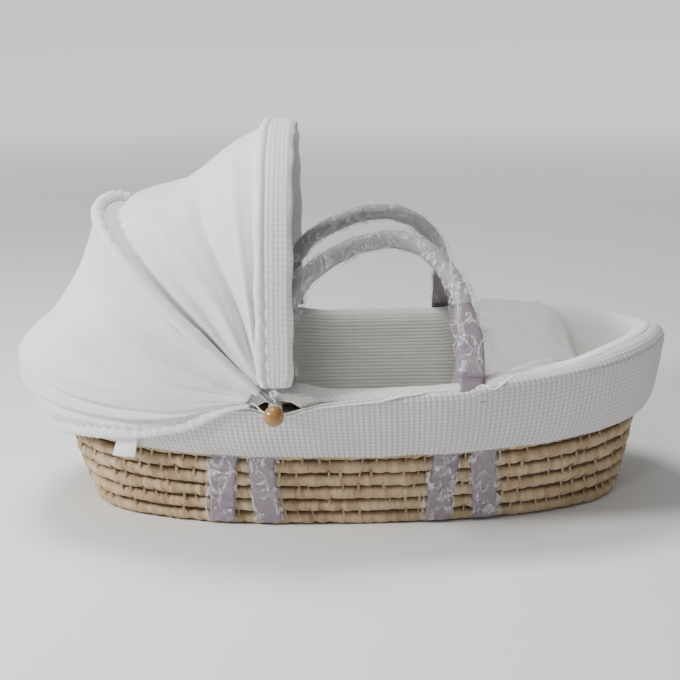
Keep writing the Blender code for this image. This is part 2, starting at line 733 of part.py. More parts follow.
def make_knobs(material):
    """Turned egg-shaped wooden knobs with a blind bore for the bolt."""
    outline = ((0.0, 1.0), (0.36, 0.985), (0.66, 0.92), (0.88, 0.82), (0.99, 0.69), (1.0, 0.58),
               (0.95, 0.44), (0.83, 0.29), (0.66, 0.15), (0.52, 0.06), (0.46, 0.0))
    bore = ((BOLT_CLEARANCE, 0.0), (BOLT_CLEARANCE, 0.0150), (0.0, 0.0150))
    points = [(radius * KNOB_RADIUS, along * KNOB_LENGTH) for radius, along in outline] + list(bore)
    for side_name, side in SIDES:
        mesh = bpy.data.meshes.new("knob_" + side_name)
        edges = [(index, index + 1) for index in range(len(points) - 1)]
        mesh.from_pydata([(radius, 0, along) for radius, along in points], edges, [])
        knob = add_object("knob_" + side_name, mesh, material)
        knob.location = (PIVOT_X, side * KNOB_START, PIVOT_Z)
        knob.rotation_euler = (-side * math.pi / 2, 0, 0)
        turned = knob.modifiers.new("turned", "SCREW")
        turned.steps = ROUND
        turned.render_steps = ROUND
        turned.use_merge_vertices = True
        turned.merge_threshold = 0.0001
        turned.use_smooth_shade = True


def make_care_label(material):
    """A blank folded tab sewn in under the hem on the near side."""
    label_x = -0.278
    up = (hem_height(label_x) - 0.0178) / rim_height(label_x)
    start = wall_point_at(label_x - 0.012, up, -1, 0.0176)
    end = wall_point_at(label_x + 0.012, up, -1, 0.0176)
    heading = math.atan2(end.y - start.y, end.x - start.x)
    bpy.ops.mesh.primitive_cube_add(size=1.0)
    label = bpy.context.object
    label.name = "care_label"
    for collection in list(label.users_collection):
        collection.objects.unlink(label)
    parts.objects.link(label)
    label.data.materials.append(material)
    label.data.transform(Matrix.Diagonal((0.026, 0.0009, 0.024, 1)))
    label.location = (start + end) / 2 + Vector((0, 0, -0.002))
    label.rotation_euler = (math.radians(12), 0, heading)


# ---- assembly -----------------------------------------------------------------------------
def main():
    clear_scene()
    wicker = make_material("wicker", (0.56, 0.40, 0.21), 0.75)
    webbing = make_material("webbing", (0.52, 0.48, 0.53), 0.65)
    grip_cloth = make_material("grip_cloth", (0.60, 0.56, 0.61), 0.70)
    film = make_material("clear_film", (0.92, 0.92, 0.95), 0.08, alpha=0.35)
    waffle = make_material("waffle_cotton", (0.80, 0.79, 0.77), 0.90)
    bedding = make_material("bedding_cotton", (0.74, 0.74, 0.71), 0.90)
    foam_cover = make_material("mattress_cover", (0.84, 0.83, 0.80), 0.85)
    hood_cloth = make_material("hood_cotton", (0.82, 0.83, 0.84), 0.88)
    cord = make_material("drawstring", (0.86, 0.86, 0.86), 0.80)
    steel = make_material("zinc_steel", (0.60, 0.60, 0.60), 0.35, metallic=1.0)
    knob_wood = make_material("knob_wood", (0.62, 0.31, 0.09), 0.28)
    label = make_material("label_satin", (0.90, 0.90, 0.90), 0.55)

    make_wicker(wicker)
    make_cross_straps(webbing)
    make_mattress(foam_cover)
    make_coverlet(bedding)
    make_liner(bedding)
    make_skirt(waffle)
    for side_name, side in SIDES:
        make_handle(side_name, side, webbing, grip_cloth, film)
    make_hood_frame(steel, hood_cloth, waffle, cord)
    make_front_panel(hood_cloth)
    make_rear_panel(hood_cloth)
    make_hem(hood_cloth)
    make_hem_ties(cord)
    make_pivot_hardware(steel)
    make_knobs(knob_wood)
    make_care_label(label)


main()
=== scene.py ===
"""Moses basket: the visible model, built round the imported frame.

Metres, +Z up. +X points to the foot end, -X to the head end under the hood, -Y is the near side.
"""
import math
import random

import bmesh
import bpy
import numpy as np
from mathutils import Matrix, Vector, noise


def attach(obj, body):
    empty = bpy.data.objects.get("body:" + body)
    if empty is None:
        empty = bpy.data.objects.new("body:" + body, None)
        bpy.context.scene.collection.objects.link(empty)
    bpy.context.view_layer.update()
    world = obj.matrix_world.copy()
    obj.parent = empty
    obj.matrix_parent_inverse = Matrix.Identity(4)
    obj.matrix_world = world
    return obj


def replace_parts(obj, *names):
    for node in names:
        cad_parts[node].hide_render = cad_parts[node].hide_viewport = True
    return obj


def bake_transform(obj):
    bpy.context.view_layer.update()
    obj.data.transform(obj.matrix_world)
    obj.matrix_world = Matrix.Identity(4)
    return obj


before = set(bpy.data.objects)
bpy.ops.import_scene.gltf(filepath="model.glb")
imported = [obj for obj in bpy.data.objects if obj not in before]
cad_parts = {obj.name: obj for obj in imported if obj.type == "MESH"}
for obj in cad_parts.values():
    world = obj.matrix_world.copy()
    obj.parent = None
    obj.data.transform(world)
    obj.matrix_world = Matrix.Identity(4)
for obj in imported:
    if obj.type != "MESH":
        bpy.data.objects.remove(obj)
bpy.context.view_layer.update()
rng = random.Random(7)

# ---- driving dimensions, the same as the CAD model's -----------------------------------------
PLAN_POWER = 2.4
RIM_HALF_LENGTH = 0.410
RIM_HALF_WIDTH = 0.222
RIM_HEIGHT = 0.200
RIM_RISE = 0.030
BASE_HALF_LENGTH = 0.358
BASE_HALF_WIDTH = 0.147
BASE_SHIFT = 0.010
WALL_BOW = 0.8

STRAP_WIDTH = 0.032
STRAP_FLOOR_X = {"head": -0.136, "foot": 0.142}
STRAP_TOP_X = {"head": -0.098, "foot": 0.146}
STRAP_TOP_SPREAD = 0.0172
STRAP_FOOT_SPREAD = 0.0315
STRAP_TOP = 0.88

COVERLET_HEAD_X = -0.060
COVERLET_FOOT_X = 0.322
COVERLET_INSET = 0.0335

HANDLE_X = 0.147
HANDLE_HEAD_X = -0.075
HANDLE_LEAN = math.radians(31)
HANDLE_HINGE_RISE = 0.0102

PIVOT = Vector((-0.089, 0.0, 0.186))
BOW_POWER = 2.6
REAR_BOW = {"half_width": 0.2362, "radius": 0.318, "lean": math.radians(46.9)}
FRONT_BOW = {"half_width": 0.2422, "radius": 0.312, "lean": math.radians(-0.6)}
CUFF_START = 0.026
HEM_END_X = -0.116
HEM_BACK_Z = 0.106
HEM_SLOPE = 0.240
HEM_END_RISE = 0.013
HEM_BACK_RISE = 0.012
KNOB_START = 0.2506
KNOB_LENGTH = 0.035
KNOB_RADIUS = 0.012

# ---- sizes of the visible detail ------------------------------------------------------------
SAG_MIDDLE = 0.006           # how far the rim sags at mid length
SAG_FOOT = 0.021             # and at the far side of the foot end
COIL_ROWS = 10
COIL_DEPTH = 0.0090          # half the depth of a wicker coil
STITCH_PITCH = 0.0189
COIL_WRAP = 0.05             # cloth coordinate once round a coil
CELL_LONG = 0.0067           # a waffle cell, along the cloth's length
CELL_WIDE = 0.0050           # and across it
SKIRT_BOTTOM = 0.552         # share of the wall's height where the skirt ends
STITCH_SHARE = 0.68          # share of the places on a coil that get a stitch
FLOOR_RINGS = 7
FLOOR_COIL_Z = 0.0095        # height of the middle of the floor's coils
STRAP_LENGTH = 0.68          # flat length of a cross strap
MATTRESS_UNDERSIDE = 0.0165
COVERLET_UNDERSIDE = 0.046
COVERLET_HALF_WIDTH = 0.185
SIDE_RIM = 0.205             # the rim's height along the sides, for heights given as a share
HOOD_CLOTH = 0.0009          # thickness of the hood's cloth
TIE_RADIUS = 0.0011
LABEL_SIZE = 0.029
SIDES = (("near", -1), ("far", 1))


# ---- small maths ----------------------------------------------------------------------------
def mix(a, b, share):
    return a + (b - a) * share


def smooth(value):
    share = np.clip(value, 0.0, 1.0)
    return share * share * (3 - 2 * share)


def bump_at(value, centre, width):
    """A bell shape, 1 at its centre."""
    return np.exp(-(((value - centre) / width) ** 2))


def unit(vectors):
    return vectors / np.maximum(np.linalg.norm(vectors, axis=-1, keepdims=True), 1e-12)


def circle(count):
    """Angles all the way round, without the last one that would meet the first."""
    return np.linspace(0, 2 * math.pi, count, endpoint=False)


def run_along(line):
    """Distance from a line's first point to each of its points."""
    return np.concatenate([[0], np.cumsum(np.linalg.norm(np.diff(line, axis=0), axis=1))])


def length_of(line):
    return float(np.linalg.norm(np.diff(line, axis=0), axis=1).sum())


def ring_tangent(line):
    """Direction along a closed line at each of its points."""
    return unit(np.roll(line, -1, 0) - np.roll(line, 1, 0))


def lookup(value, marks, table):
    """Each of the table's columns, read between its rows, which stand at the marks."""
    return [np.interp(value, marks, table[:, axis]) for axis in range(table.shape[1])]


def resample(line, count):
    """Points at even distances along a line."""
    run = run_along(line)
    return np.stack(lookup(np.linspace(0, run[-1], count), run, line), -1)


def spline(points, count):
    """Even points on a Catmull-Rom curve through the given ones."""
    points = np.asarray(points, float)
    padded = np.vstack([2 * points[0] - points[1], points, 2 * points[-1] - points[-2]])
    curve = []
    for before, start, end, after in zip(padded, padded[1:], padded[2:], padded[3:]):
        t = np.linspace(0, 1, 12, endpoint=False)[:, None]
        curve.append(0.5 * (2 * start + (end - before) * t
                            + (2 * before - 5 * start + 4 * end - after) * t ** 2
                            + (3 * start - before - 3 * end + after) * t ** 3))
    return resample(np.vstack(curve + [points[-1:]]), count)


def wobble(points, size, seed=0.0):
    """Smooth noise between about -1 and 1 at each point; size is the length of one lump."""
    flat = points.reshape(-1, 3) / size + seed
    return np.array([noise.noise(Vector(point)) for point in flat]).reshape(points.shape[:-1])


# ---- the basket's shape ---------------------------------------------------------------------
def plan(angle):
    cosine, sine = np.cos(angle), np.sin(angle)
    power = 2 / PLAN_POWER
    return np.sign(cosine) * np.abs(cosine) ** power, np.sign(sine) * np.abs(sine) ** power


def sag(x, y, up):
    """How far the padded rim hangs low: at mid length, and at the far side of the foot end."""
    side = np.clip(y / RIM_HALF_WIDTH, -1, 1)
    middle = smooth((x + 0.075) / 0.06) * (1 - smooth((x - 0.135) / 0.045)) * (1 - 0.35 * side)
    foot = smooth((x - 0.29) / 0.13) * smooth((y + 0.09) / 0.16)
    return (SAG_MIDDLE * middle + SAG_FOOT * foot) * smooth((up - 0.6) / 0.4)


def fullness(x):
    """The padding over the rim is flatter along the sides than round the foot end."""
    return mix(0.45, 1.0, smooth((x - 0.25) / 0.09))


def wall(angle, up, inset=0.0, lift=0.0):
    """Points of the basket's side: up runs from 0 at the floor to 1 at the rim."""
    angle, up, inset, lift = np.broadcast_arrays(angle, up, inset, lift)
    across, along = plan(angle)
    spread = np.maximum(up, 0) ** WALL_BOW
    x = across * (mix(BASE_HALF_LENGTH, RIM_HALF_LENGTH, spread) - inset)
    y = along * (mix(BASE_HALF_WIDTH, RIM_HALF_WIDTH, spread) - inset)
    rim = RIM_HEIGHT + RIM_RISE * np.abs(across) ** 2.5
    x = x + BASE_SHIFT * (1 - spread)
    return np.stack([x, y, up * rim + lift * fullness(x) - sag(x, y, up)], -1)


def wall_at(x, up, side, outset=0.0):
    """Points of the side that have this X, on the near (-1) or far (1) side."""
    x, up, outset = np.broadcast_arrays(np.asarray(x, float), up, outset)
    spread = up ** WALL_BOW
    half_x = mix(BASE_HALF_LENGTH, RIM_HALF_LENGTH, spread) + outset
    half_y = mix(BASE_HALF_WIDTH, RIM_HALF_WIDTH, spread) + outset
    share = np.minimum(1.0, np.abs(x - BASE_SHIFT * (1 - spread)) / half_x)
    y = half_y * (1 - share ** PLAN_POWER) ** (1 / PLAN_POWER)
    height = up * (RIM_HEIGHT + RIM_RISE * share ** 2.5) - sag(x, side * y, up)
    return np.stack([x, side * y, height], -1)


def even_angles(count, up=0.8, inset=0.0):
    """Plan angles that are evenly spaced along the wall at this height, all the way round."""
    dense = np.linspace(0, 2 * math.pi, 4001)
    run = run_along(wall(dense, up, inset))
    return np.interp(np.linspace(0, run[-1], count + 1)[:-1], run, dense), run[-1]


# ---- the hood's bows ------------------------------------------------------------------------
def bow_raw(turn, bow):
    angle = math.pi * turn
    power = 2 / BOW_POWER
    y = -np.sign(np.cos(angle)) * np.abs(np.cos(angle)) ** power * bow["half_width"]
    return np.stack([np.zeros_like(y), y, np.abs(np.sin(angle)) ** power * bow["radius"]], -1)


def bow_line(turn, bow, outward=0.0, along=0.0):
    """Points of a bow in the world; turn runs 0 to 1 from near to far over the top."""
    turn, outward, along = np.broadcast_arrays(np.asarray(turn, float), outward, along)
    step = 0.002
    ahead = bow_raw(np.minimum(1, turn + step), bow)
    forward = ahead - bow_raw(np.maximum(0, turn - step), bow)
    normal = unit(np.stack([np.zeros_like(turn), -forward[..., 2], forward[..., 1]], -1))
    point = bow_raw(turn, bow) + normal * outward[..., None]
    x, z = point[..., 0] + along, point[..., 2]
    cosine, sine = math.cos(bow["lean"]), math.sin(bow["lean"])
    return np.stack([x * cosine - z * sine + PIVOT.x, point[..., 1],
                     x * sine + z * cosine + PIVOT.z], -1)


def even_turns(start, count, bow):
    """Turns evenly spaced along a bow, from one height over the near pivot to the far one."""
    dense = np.linspace(0.0, 1.0, 4001)
    line = bow_raw(dense, bow)
    run = run_along(line)
    low = np.interp(start, line[:2000, 2], run[:2000])
    return np.interp(np.linspace(low, run[-1] - low, count), run, dense), run[-1] - 2 * low


# ---- meshes ---------------------------------------------------------------------------------
def values_of(items, key, width):
    """The values of one list of a mesh, with a row for each of its items."""
    values = np.empty(len(items) * width)
    items.foreach_get(key, values)
    return values.reshape(-1, width)


def write_uv(layer, values):
    layer.data.foreach_set("uv", np.asarray(values, np.float32).ravel())


def piece(name, vertices, faces, material, uv=None, body="basket", smooth_faces=True):
    """A mesh object; uv holds one coordinate pair for each corner of each face, in metres."""
    mesh = bpy.data.meshes.new(name)
    mesh.from_pydata(np.asarray(vertices).reshape(-1, 3).tolist(), [], faces)
    if smooth_faces:
        mesh.shade_smooth()
    if uv is not None:
        write_uv(mesh.uv_layers.new(name="cloth"), uv)
    mesh.materials.append(material)
    obj = bpy.data.objects.new(name, mesh)
    bpy.context.scene.collection.objects.link(obj)
    if body:
        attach(obj, body)
    return obj


def grid(name, points, material, size, wrap_rows=False, wrap_columns=False, keep=None, **more):
    """A skinned grid of points; size is its cloth's (height, width) for the weave, in metres."""
    rows, columns = points.shape[:2]
    row_index = np.arange(rows if wrap_rows else rows - 1)
    column_index = np.arange(columns if wrap_columns else columns - 1)
    r, c = np.meshgrid(row_index, column_index, indexing="ij")
    r2, c2 = (r + 1) % rows, (c + 1) % columns
    quads = np.stack([r * columns + c, r * columns + c2, r2 * columns + c2, r2 * columns + c], -1)
    corners = np.stack([np.stack([c, r], -1), np.stack([c + 1, r], -1),
                        np.stack([c + 1, r + 1], -1), np.stack([c, r + 1], -1)], 2).astype(float)
    quads, corners = quads.reshape(-1, 4), corners.reshape(-1, 4, 2)
    if keep is not None:
        chosen = keep.reshape(-1)
        quads, corners = quads[chosen], corners[chosen]
    corners[..., 0] *= size[1] / len(column_index)
    corners[..., 1] *= size[0] / len(row_index)
    return piece(name, points, quads.tolist(), material, corners, **more)


def tube(name, path, radius, material, sides, squash=1.0, hint=(0, 0, 1), closed=False, **more):
    """A round or flattened bar along a path; an open one has caps on its ends."""
    path = np.asarray(path, float)
    tangent = ring_tangent(path) if closed else unit(np.gradient(path, axis=0))
    side = unit(np.cross(np.broadcast_to(np.asarray(hint, float), tangent.shape), tangent))
    up = np.cross(tangent, side)
    angle = circle(sides)[None, :, None]
    section = np.cos(angle) * side[:, None] + squash * np.sin(angle) * up[:, None]
    size = (length_of(path), 2 * math.pi * radius)
    obj = grid(name, path[:, None] + radius * section, material, size, wrap_rows=closed,
               wrap_columns=True, **more)
    if not closed:
        close_ends(obj, sides)
    return obj


def close_ends(obj, sides):
    """Put a cap on both ends of a tube."""
    bm = bmesh.new()
    bm.from_mesh(obj.data)
    bm.verts.ensure_lookup_table()
    total = len(bm.verts)
    for first in (0, total - sides):
        bm.faces.new([bm.verts[first + index] for index in range(sides)])
    bmesh.ops.recalc_face_normals(bm, faces=bm.faces)
    bm.to_mesh(obj.data)
    bm.free()


def modifier(obj, kind, **values):
    made = obj.modifiers.new(kind.lower(), kind)
    for key, value in values.items():
        setattr(made, key, value)
    return made


def thicken(obj, thickness, offset=0.0):
    modifier(obj, "SOLIDIFY", thickness=thickness, offset=offset, use_even_offset=False)


def subdivide(obj):
    modifier(obj, "SUBSURF", levels=1, render_levels=1)


def apply_modifiers(obj):
    graph = bpy.context.evaluated_depsgraph_get()
    mesh = bpy.data.meshes.new_from_object(obj.evaluated_get(graph))
    obj.modifiers.clear()
    obj.data = mesh


def join(name, pieces, material):
    """One piece of the basket from several meshes."""
    vertices, faces, corners, base = [], [], [], 0
    for obj in pieces:
        mesh = obj.data
        vertices.append(values_of(mesh.vertices, "co", 3))
        faces += [[index + base for index in polygon.vertices] for polygon in mesh.polygons]
        corners.append(values_of(mesh.uv_layers[0].data, "uv", 2))
        base += len(mesh.vertices)
        bpy.data.objects.remove(obj, do_unlink=True)
    return piece(name, np.vstack(vertices), faces, material, np.concatenate(corners))


def puff(obj, cap, pressure, voxel, frames):
    """Fill a closed cloth shape with air for a moment; no point moves further than the cap."""
    modifier(obj, "REMESH", mode="VOXEL", voxel_size=voxel)
    apply_modifiers(obj)
    before = values_of(obj.data.vertices, "co", 3)
    cloth = modifier(obj, "CLOTH")
    cloth.settings.use_pressure = True
    cloth.settings.uniform_pressure_force = pressure
    cloth.settings.effector_weights.gravity = 0.0
    cloth.settings.quality = 4
    cloth.point_cache.frame_start = 1
    cloth.point_cache.frame_end = frames
    scene = bpy.context.scene
    for number in range(1, frames + 1):
        scene.frame_set(number)
    apply_modifiers(obj)
    scene.frame_set(1)
    shift = values_of(obj.data.vertices, "co", 3) - before
    length = np.linalg.norm(shift, axis=1, keepdims=True)
    shift *= np.minimum(1.0, cap / np.maximum(length, 1e-9))
    obj.data.vertices.foreach_set("co", (before + shift).ravel())
    obj.data.update()


# ---- materials ------------------------------------------------------------------------------
class Nodes:
    """Short names for building a material's node tree."""

    def __init__(self, name, color, roughness, **inputs):
        self.material = bpy.data.materials.new(name)
        self.material.use_nodes = True
        self.tree = self.material.node_tree
        self.shader = self.tree.nodes["Principled BSDF"]
        self.set(self.shader, "Base Color", (*color, 1.0))
        self.set(self.shader, "Roughness", roughness)
        for key, value in inputs.items():
            self.set(self.shader, key.replace("_", " "), value)
        self.height = None

    def set(self, node, socket, value):
        target = node.inputs[socket]
        if isinstance(value, bpy.types.NodeSocket):
            self.tree.links.new(value, target)
        else:
            target.default_value = value

    def add(self, kind, output=0, settings=None, **inputs):
        node = self.tree.nodes.new(kind)
        for key, value in (settings or {}).items():
            setattr(node, key, value)
        for key, value in inputs.items():
            self.set(node, int(key[1:]) if key[0] == "_" else key.replace("_", " "), value)
        return node.outputs[output]

    def maths(self, operation, a, b=0.0, c=0.0):
        return self.add("ShaderNodeMath", settings={"operation": operation}, _0=a, _1=b, _2=c)

    def uv(self):
        return self.add("ShaderNodeTexCoord", output=2)

    def place(self):
        return self.add("ShaderNodeTexCoord", output=3)

    def noise(self, vector, scale, detail=2.0, rough=0.5, distortion=0.0):
        return self.add("ShaderNodeTexNoise", output=0, Vector=vector, Scale=scale, Detail=detail,
                        Roughness=rough, Distortion=distortion)

    def split(self, vector):
        node = self.tree.nodes.new("ShaderNodeSeparateXYZ")
        self.set(node, 0, vector)
        return node.outputs

    def stretch(self, vector, scale):
        return self.add("ShaderNodeVectorMath", settings={"operation": "MULTIPLY"},
                        _0=vector, _1=scale)

    def ramp(self, value, *stops):
        node = self.tree.nodes.new("ShaderNodeValToRGB")
        elements = node.color_ramp.elements
        while len(elements) < len(stops):
            elements.new(0.5)
        for element, (position, color) in zip(elements, stops):
            element.position = position
            element.color = (*color, 1.0)
        self.set(node, 0, value)
        return node.outputs[0]

    def tint(self, factor, a, b, blend="MIX"):
        node = self.tree.nodes.new("ShaderNodeMix")
        node.data_type = "RGBA"
        node.blend_type = blend
        self.set(node, 0, factor)
        self.set(node, 6, a if isinstance(a, bpy.types.NodeSocket) else (*a, 1.0))
        self.set(node, 7, b if isinstance(b, bpy.types.NodeSocket) else (*b, 1.0))
        return node.outputs[2]

    def range(self, value, low, high):
        return self.add("ShaderNodeMapRange", Value=value, To_Min=low, To_Max=high)

    def color(self, value):
        self.set(self.shader, "Base Color", value)

    def bump(self, height, distance, strength=1.0, socket="Normal"):
        node = self.tree.nodes.new("ShaderNodeBump")
        self.set(node, "Height", height)
        self.set(node, "Distance", distance)
        self.set(node, "Strength", strength)
        if self.height is not None and socket == "Normal":
            self.set(node, "Normal", self.height)
        if socket == "Normal":
            self.height = node.outputs[0]
        self.set(self.shader, socket, node.outputs[0])


def waffle_height(n, cross=1.0, rows=1.0):
    """Raised cells with grooves between them, from the cloth's own coordinates."""
    x, y, _ = n.split(n.uv())
    soft = []
    for axis, cell in ((x, CELL_LONG), (y, CELL_WIDE)):
        bounce = n.maths("PINGPONG", n.maths("MULTIPLY", axis, 1 / cell), 0.5)
        soft.append(n.maths("POWER", n.maths("MULTIPLY", bounce, 2.0), 0.55))
    long_way = n.range(soft[0], 1.0 - cross, 1.0)
    return n.maths("MULTIPLY", long_way, n.range(soft[1], 1.0 - rows, 1.0))


def waffle_cotton(name, light, dark, depth=0.0009, groove_shade=0.55, cross=1.0, rows=1.0,
                  plain_from=None):
    """Waffle weave with painted shade in the grooves between its cells; from plain_from (an X in
    metres) on, the cloth turns plain and paler.
    """
    n = Nodes(name, light, 0.92, Sheen_Weight=0.2, Sheen_Roughness=0.6)
    cells = waffle_height(n, cross, rows)
    soil = n.noise(n.place(), 9.0, 4.0, 0.6)
    base = n.tint(n.range(soil, 0.0, 0.6), light, dark)
    if plain_from is not None:
        plain = n.add("ShaderNodeMapRange", Value=n.split(n.place())[0], From_Min=plain_from,
                      From_Max=plain_from + 0.07)
        cells = n.maths("MAXIMUM", cells, plain)
        base = n.tint(plain, base, (0.82, 0.815, 0.79))
    # Painted shade: the grooves between the cells are darkened towards a deep tone of the dark
    # colour.
    groove = n.maths("MULTIPLY", n.maths("SUBTRACT", 1.0, cells), groove_shade)
    n.color(n.tint(groove, base, tuple(value * 0.45 for value in dark)))
    yarn = n.noise(n.place(), 1300.0, 2.0)
    n.bump(cells, depth, 0.9)
    n.bump(yarn, 0.0002, 0.35)
    return n.material


def plain_cotton(name, light, dark, wrinkle=0.0016):
    n = Nodes(name, light, 0.88, Sheen_Weight=0.2, Sheen_Roughness=0.5)
    place = n.place()
    patches = n.noise(place, 7.0, 4.0, 0.55)
    n.color(n.tint(n.range(patches, 0.0, 0.5), light, dark))
    n.set(n.shader, "Roughness", n.range(n.noise(place, 30.0), 0.78, 0.95))
    creases = n.noise(n.stretch(place, (1.0, 0.7, 1.6)), 26.0, 5.0, 0.55, 0.4)
    n.bump(creases, wrinkle, 0.8)
    x, y, _ = n.split(n.uv())
    threads = n.maths("ADD", n.maths("SINE", n.maths("MULTIPLY", x, 9000.0)),
                      n.maths("SINE", n.maths("MULTIPLY", y, 9000.0)))
    n.bump(threads, 0.00006, 0.5)
    return n.material


def palm_leaf(name, painted_shade_factor=1.0):
    """Coils wrapped in split palm leaf: fine lines across the coil, each wrap its own tone, and
    painted shade where coils meet; a factor below 1 paints a darker, shaded copy.
    """
    n = Nodes(name, (0.50, 0.35, 0.19), 0.74, Sheen_Weight=0.05)
    x, y, _ = n.split(n.uv())
    place = n.place()
    wander = n.maths("MULTIPLY", n.noise(place, 70.0, 2.0), 0.010)
    turn = n.maths("MULTIPLY", n.maths("ADD", x, wander), 1 / 0.0075)
    wrap = n.add("ShaderNodeTexWhiteNoise", output=0, settings={"noise_dimensions": "1D"},
                 W=n.maths("FLOOR", turn))
    patches = n.noise(place, 12.0, 4.0, 0.65)
    shade = n.maths("ADD", n.maths("MULTIPLY", wrap, 0.24), n.maths("MULTIPLY", patches, 0.85))
    leaf = ((0.28, (0.34, 0.235, 0.130)), (0.46, (0.49, 0.365, 0.220)),
            (0.62, (0.60, 0.465, 0.300)), (0.84, (0.72, 0.60, 0.425)))
    # A factor below 1 darkens every tone: a shaded copy of the material, for painted shade.
    tones = [(stop, tuple(value * painted_shade_factor for value in tone)) for stop, tone in leaf]
    color = n.ramp(shade, *tones)
    combined = n.add("ShaderNodeCombineXYZ", _0=x, _1=n.maths("MULTIPLY", y, 0.06))
    fibre = n.noise(combined, 800.0, 3.0, 0.6)
    color = n.tint(n.range(fibre, 0.0, 0.50), color, (0.34, 0.22, 0.11), "MULTIPLY")
    # Painted shade: each coil darkens towards its top and bottom, where it meets the next coil.
    groove_shade_mask = n.maths("ABSOLUTE", n.maths("SINE", n.maths("MULTIPLY", y, 2 * math.pi / COIL_WRAP)))
    groove = n.maths("MULTIPLY", n.maths("POWER", groove_shade_mask, 7.0), 0.75)
    n.color(n.tint(groove, color, (0.13, 0.075, 0.03)))
    n.bump(fibre, 0.0008, 0.8)
    edges = n.maths("PINGPONG", turn, 0.5)
    n.bump(n.maths("POWER", n.maths("MULTIPLY", edges, 2.0), 0.30), 0.0010, 0.8)
    return n.material


def wrapped_webbing(name, light, dark, film):
    """Cloth under clear wrapping film: the cloth's weave below, the film's gloss in the coat."""
    n = Nodes(name, light, 0.75, Coat_Weight=film, Coat_Roughness=0.06, Coat_IOR=1.45)
    place = n.place()
    patches = n.noise(place, 24.0, 3.0, 0.6)
    n.color(n.tint(n.range(patches, -0.2, 1.0), light, dark))
    _, y, _ = n.split(n.uv())
    ribs = n.maths("SINE", n.maths("MULTIPLY", y, 2 * math.pi / 0.0016))
    n.bump(ribs, 0.00025, 0.5)
    folds = n.noise(n.stretch(place, (1.0, 1.0, 0.45)), 60.0, 4.0, 0.6, 1.2)
    n.bump(folds, 0.006, 1.0, "Coat Normal")
    return n.material


def clear_film(name):
    """Clear crinkled film: see-through, with opaque white streaks along its creases, painted in as
    highlights.
    """
    n = Nodes(name, (0.95, 0.95, 0.97), 0.12, Specular_IOR_Level=1.0)
    place = n.place()
    creases = n.noise(n.stretch(place, (1.0, 1.0, 0.4)), 48.0, 4.0, 0.55, 0.8)
    sharp = n.maths("ABSOLUTE", n.maths("SUBTRACT", creases, 0.5))
    # Painted highlight: the film turns opaque white along its creases, standing in for glints.
    painted_glint = n.add("ShaderNodeMapRange", Value=sharp, From_Min=0.0, From_Max=0.030,
                   To_Min=0.42, To_Max=0.03)
    n.set(n.shader, "Alpha", painted_glint)
    n.bump(creases, 0.012, 1.0)
    return n.material


def varnished_wood(name):
    n = Nodes(name, (0.50, 0.22, 0.05), 0.35, Coat_Weight=0.6, Coat_Roughness=0.10)
    place = n.place()
    grain = n.noise(n.stretch(place, (1.0, 0.12, 1.0)), 420.0, 4.0, 0.6, 1.2)
    band = n.noise(n.stretch(place, (1.0, 0.3, 1.0)), 90.0, 2.0)
    base = n.ramp(band, (0.3, (0.21, 0.095, 0.019)), (0.55, (0.31, 0.155, 0.035)),
                  (0.75, (0.39, 0.21, 0.054)))
    n.color(n.tint(n.range(grain, 0.0, 0.35), base, (0.20, 0.07, 0.012)))
    n.bump(grain, 0.0001, 0.4)
    return n.material


def zinc(name):
    n = Nodes(name, (0.60, 0.60, 0.60), 0.35, Metallic=1.0)
    spangle = n.noise(n.place(), 260.0, 3.0, 0.6)
    n.set(n.shader, "Roughness", n.range(spangle, 0.25, 0.5))
    n.color(n.tint(n.range(spangle, 0.0, 0.8), (0.66, 0.66, 0.67), (0.45, 0.46, 0.48)))
    n.bump(spangle, 0.0001, 0.3)
    return n.material


def twisted_cord(name):
    n = Nodes(name, (0.80, 0.80, 0.80), 0.8, Sheen_Weight=0.2)
    x, y, _ = n.split(n.uv())
    twist = n.maths("SINE", n.maths("MULTIPLY", n.maths("ADD", y, x), 4200.0))
    n.color(n.tint(n.range(twist, 0.0, 0.25), (0.82, 0.82, 0.82), (0.55, 0.55, 0.55)))
    n.bump(twist, 0.0003, 0.7)
    return n.material


def pale_floor(name):
    """A plain floor that glows paler with distance, so that it has no visible far edge."""
    n = Nodes(name, (0.84, 0.84, 0.83), 0.75, Emission_Color=(1.0, 1.0, 1.0, 1.0))
    away = n.add("ShaderNodeVectorMath", output=1, settings={"operation": "LENGTH"}, _0=n.place())
    far = n.add("ShaderNodeMapRange", Value=away, From_Min=1.2, From_Max=6.0)
    n.color(n.tint(far, (0.84, 0.84, 0.83), (0.985, 0.985, 0.985)))
    n.bump(n.noise(n.place(), 240.0, 2.0), 0.0002, 0.15)
    glow = n.add("ShaderNodeMapRange", Value=away, From_Min=1.2, From_Max=7.0, To_Max=0.75)
    n.set(n.shader, "Emission Strength", glow)
    return n.material


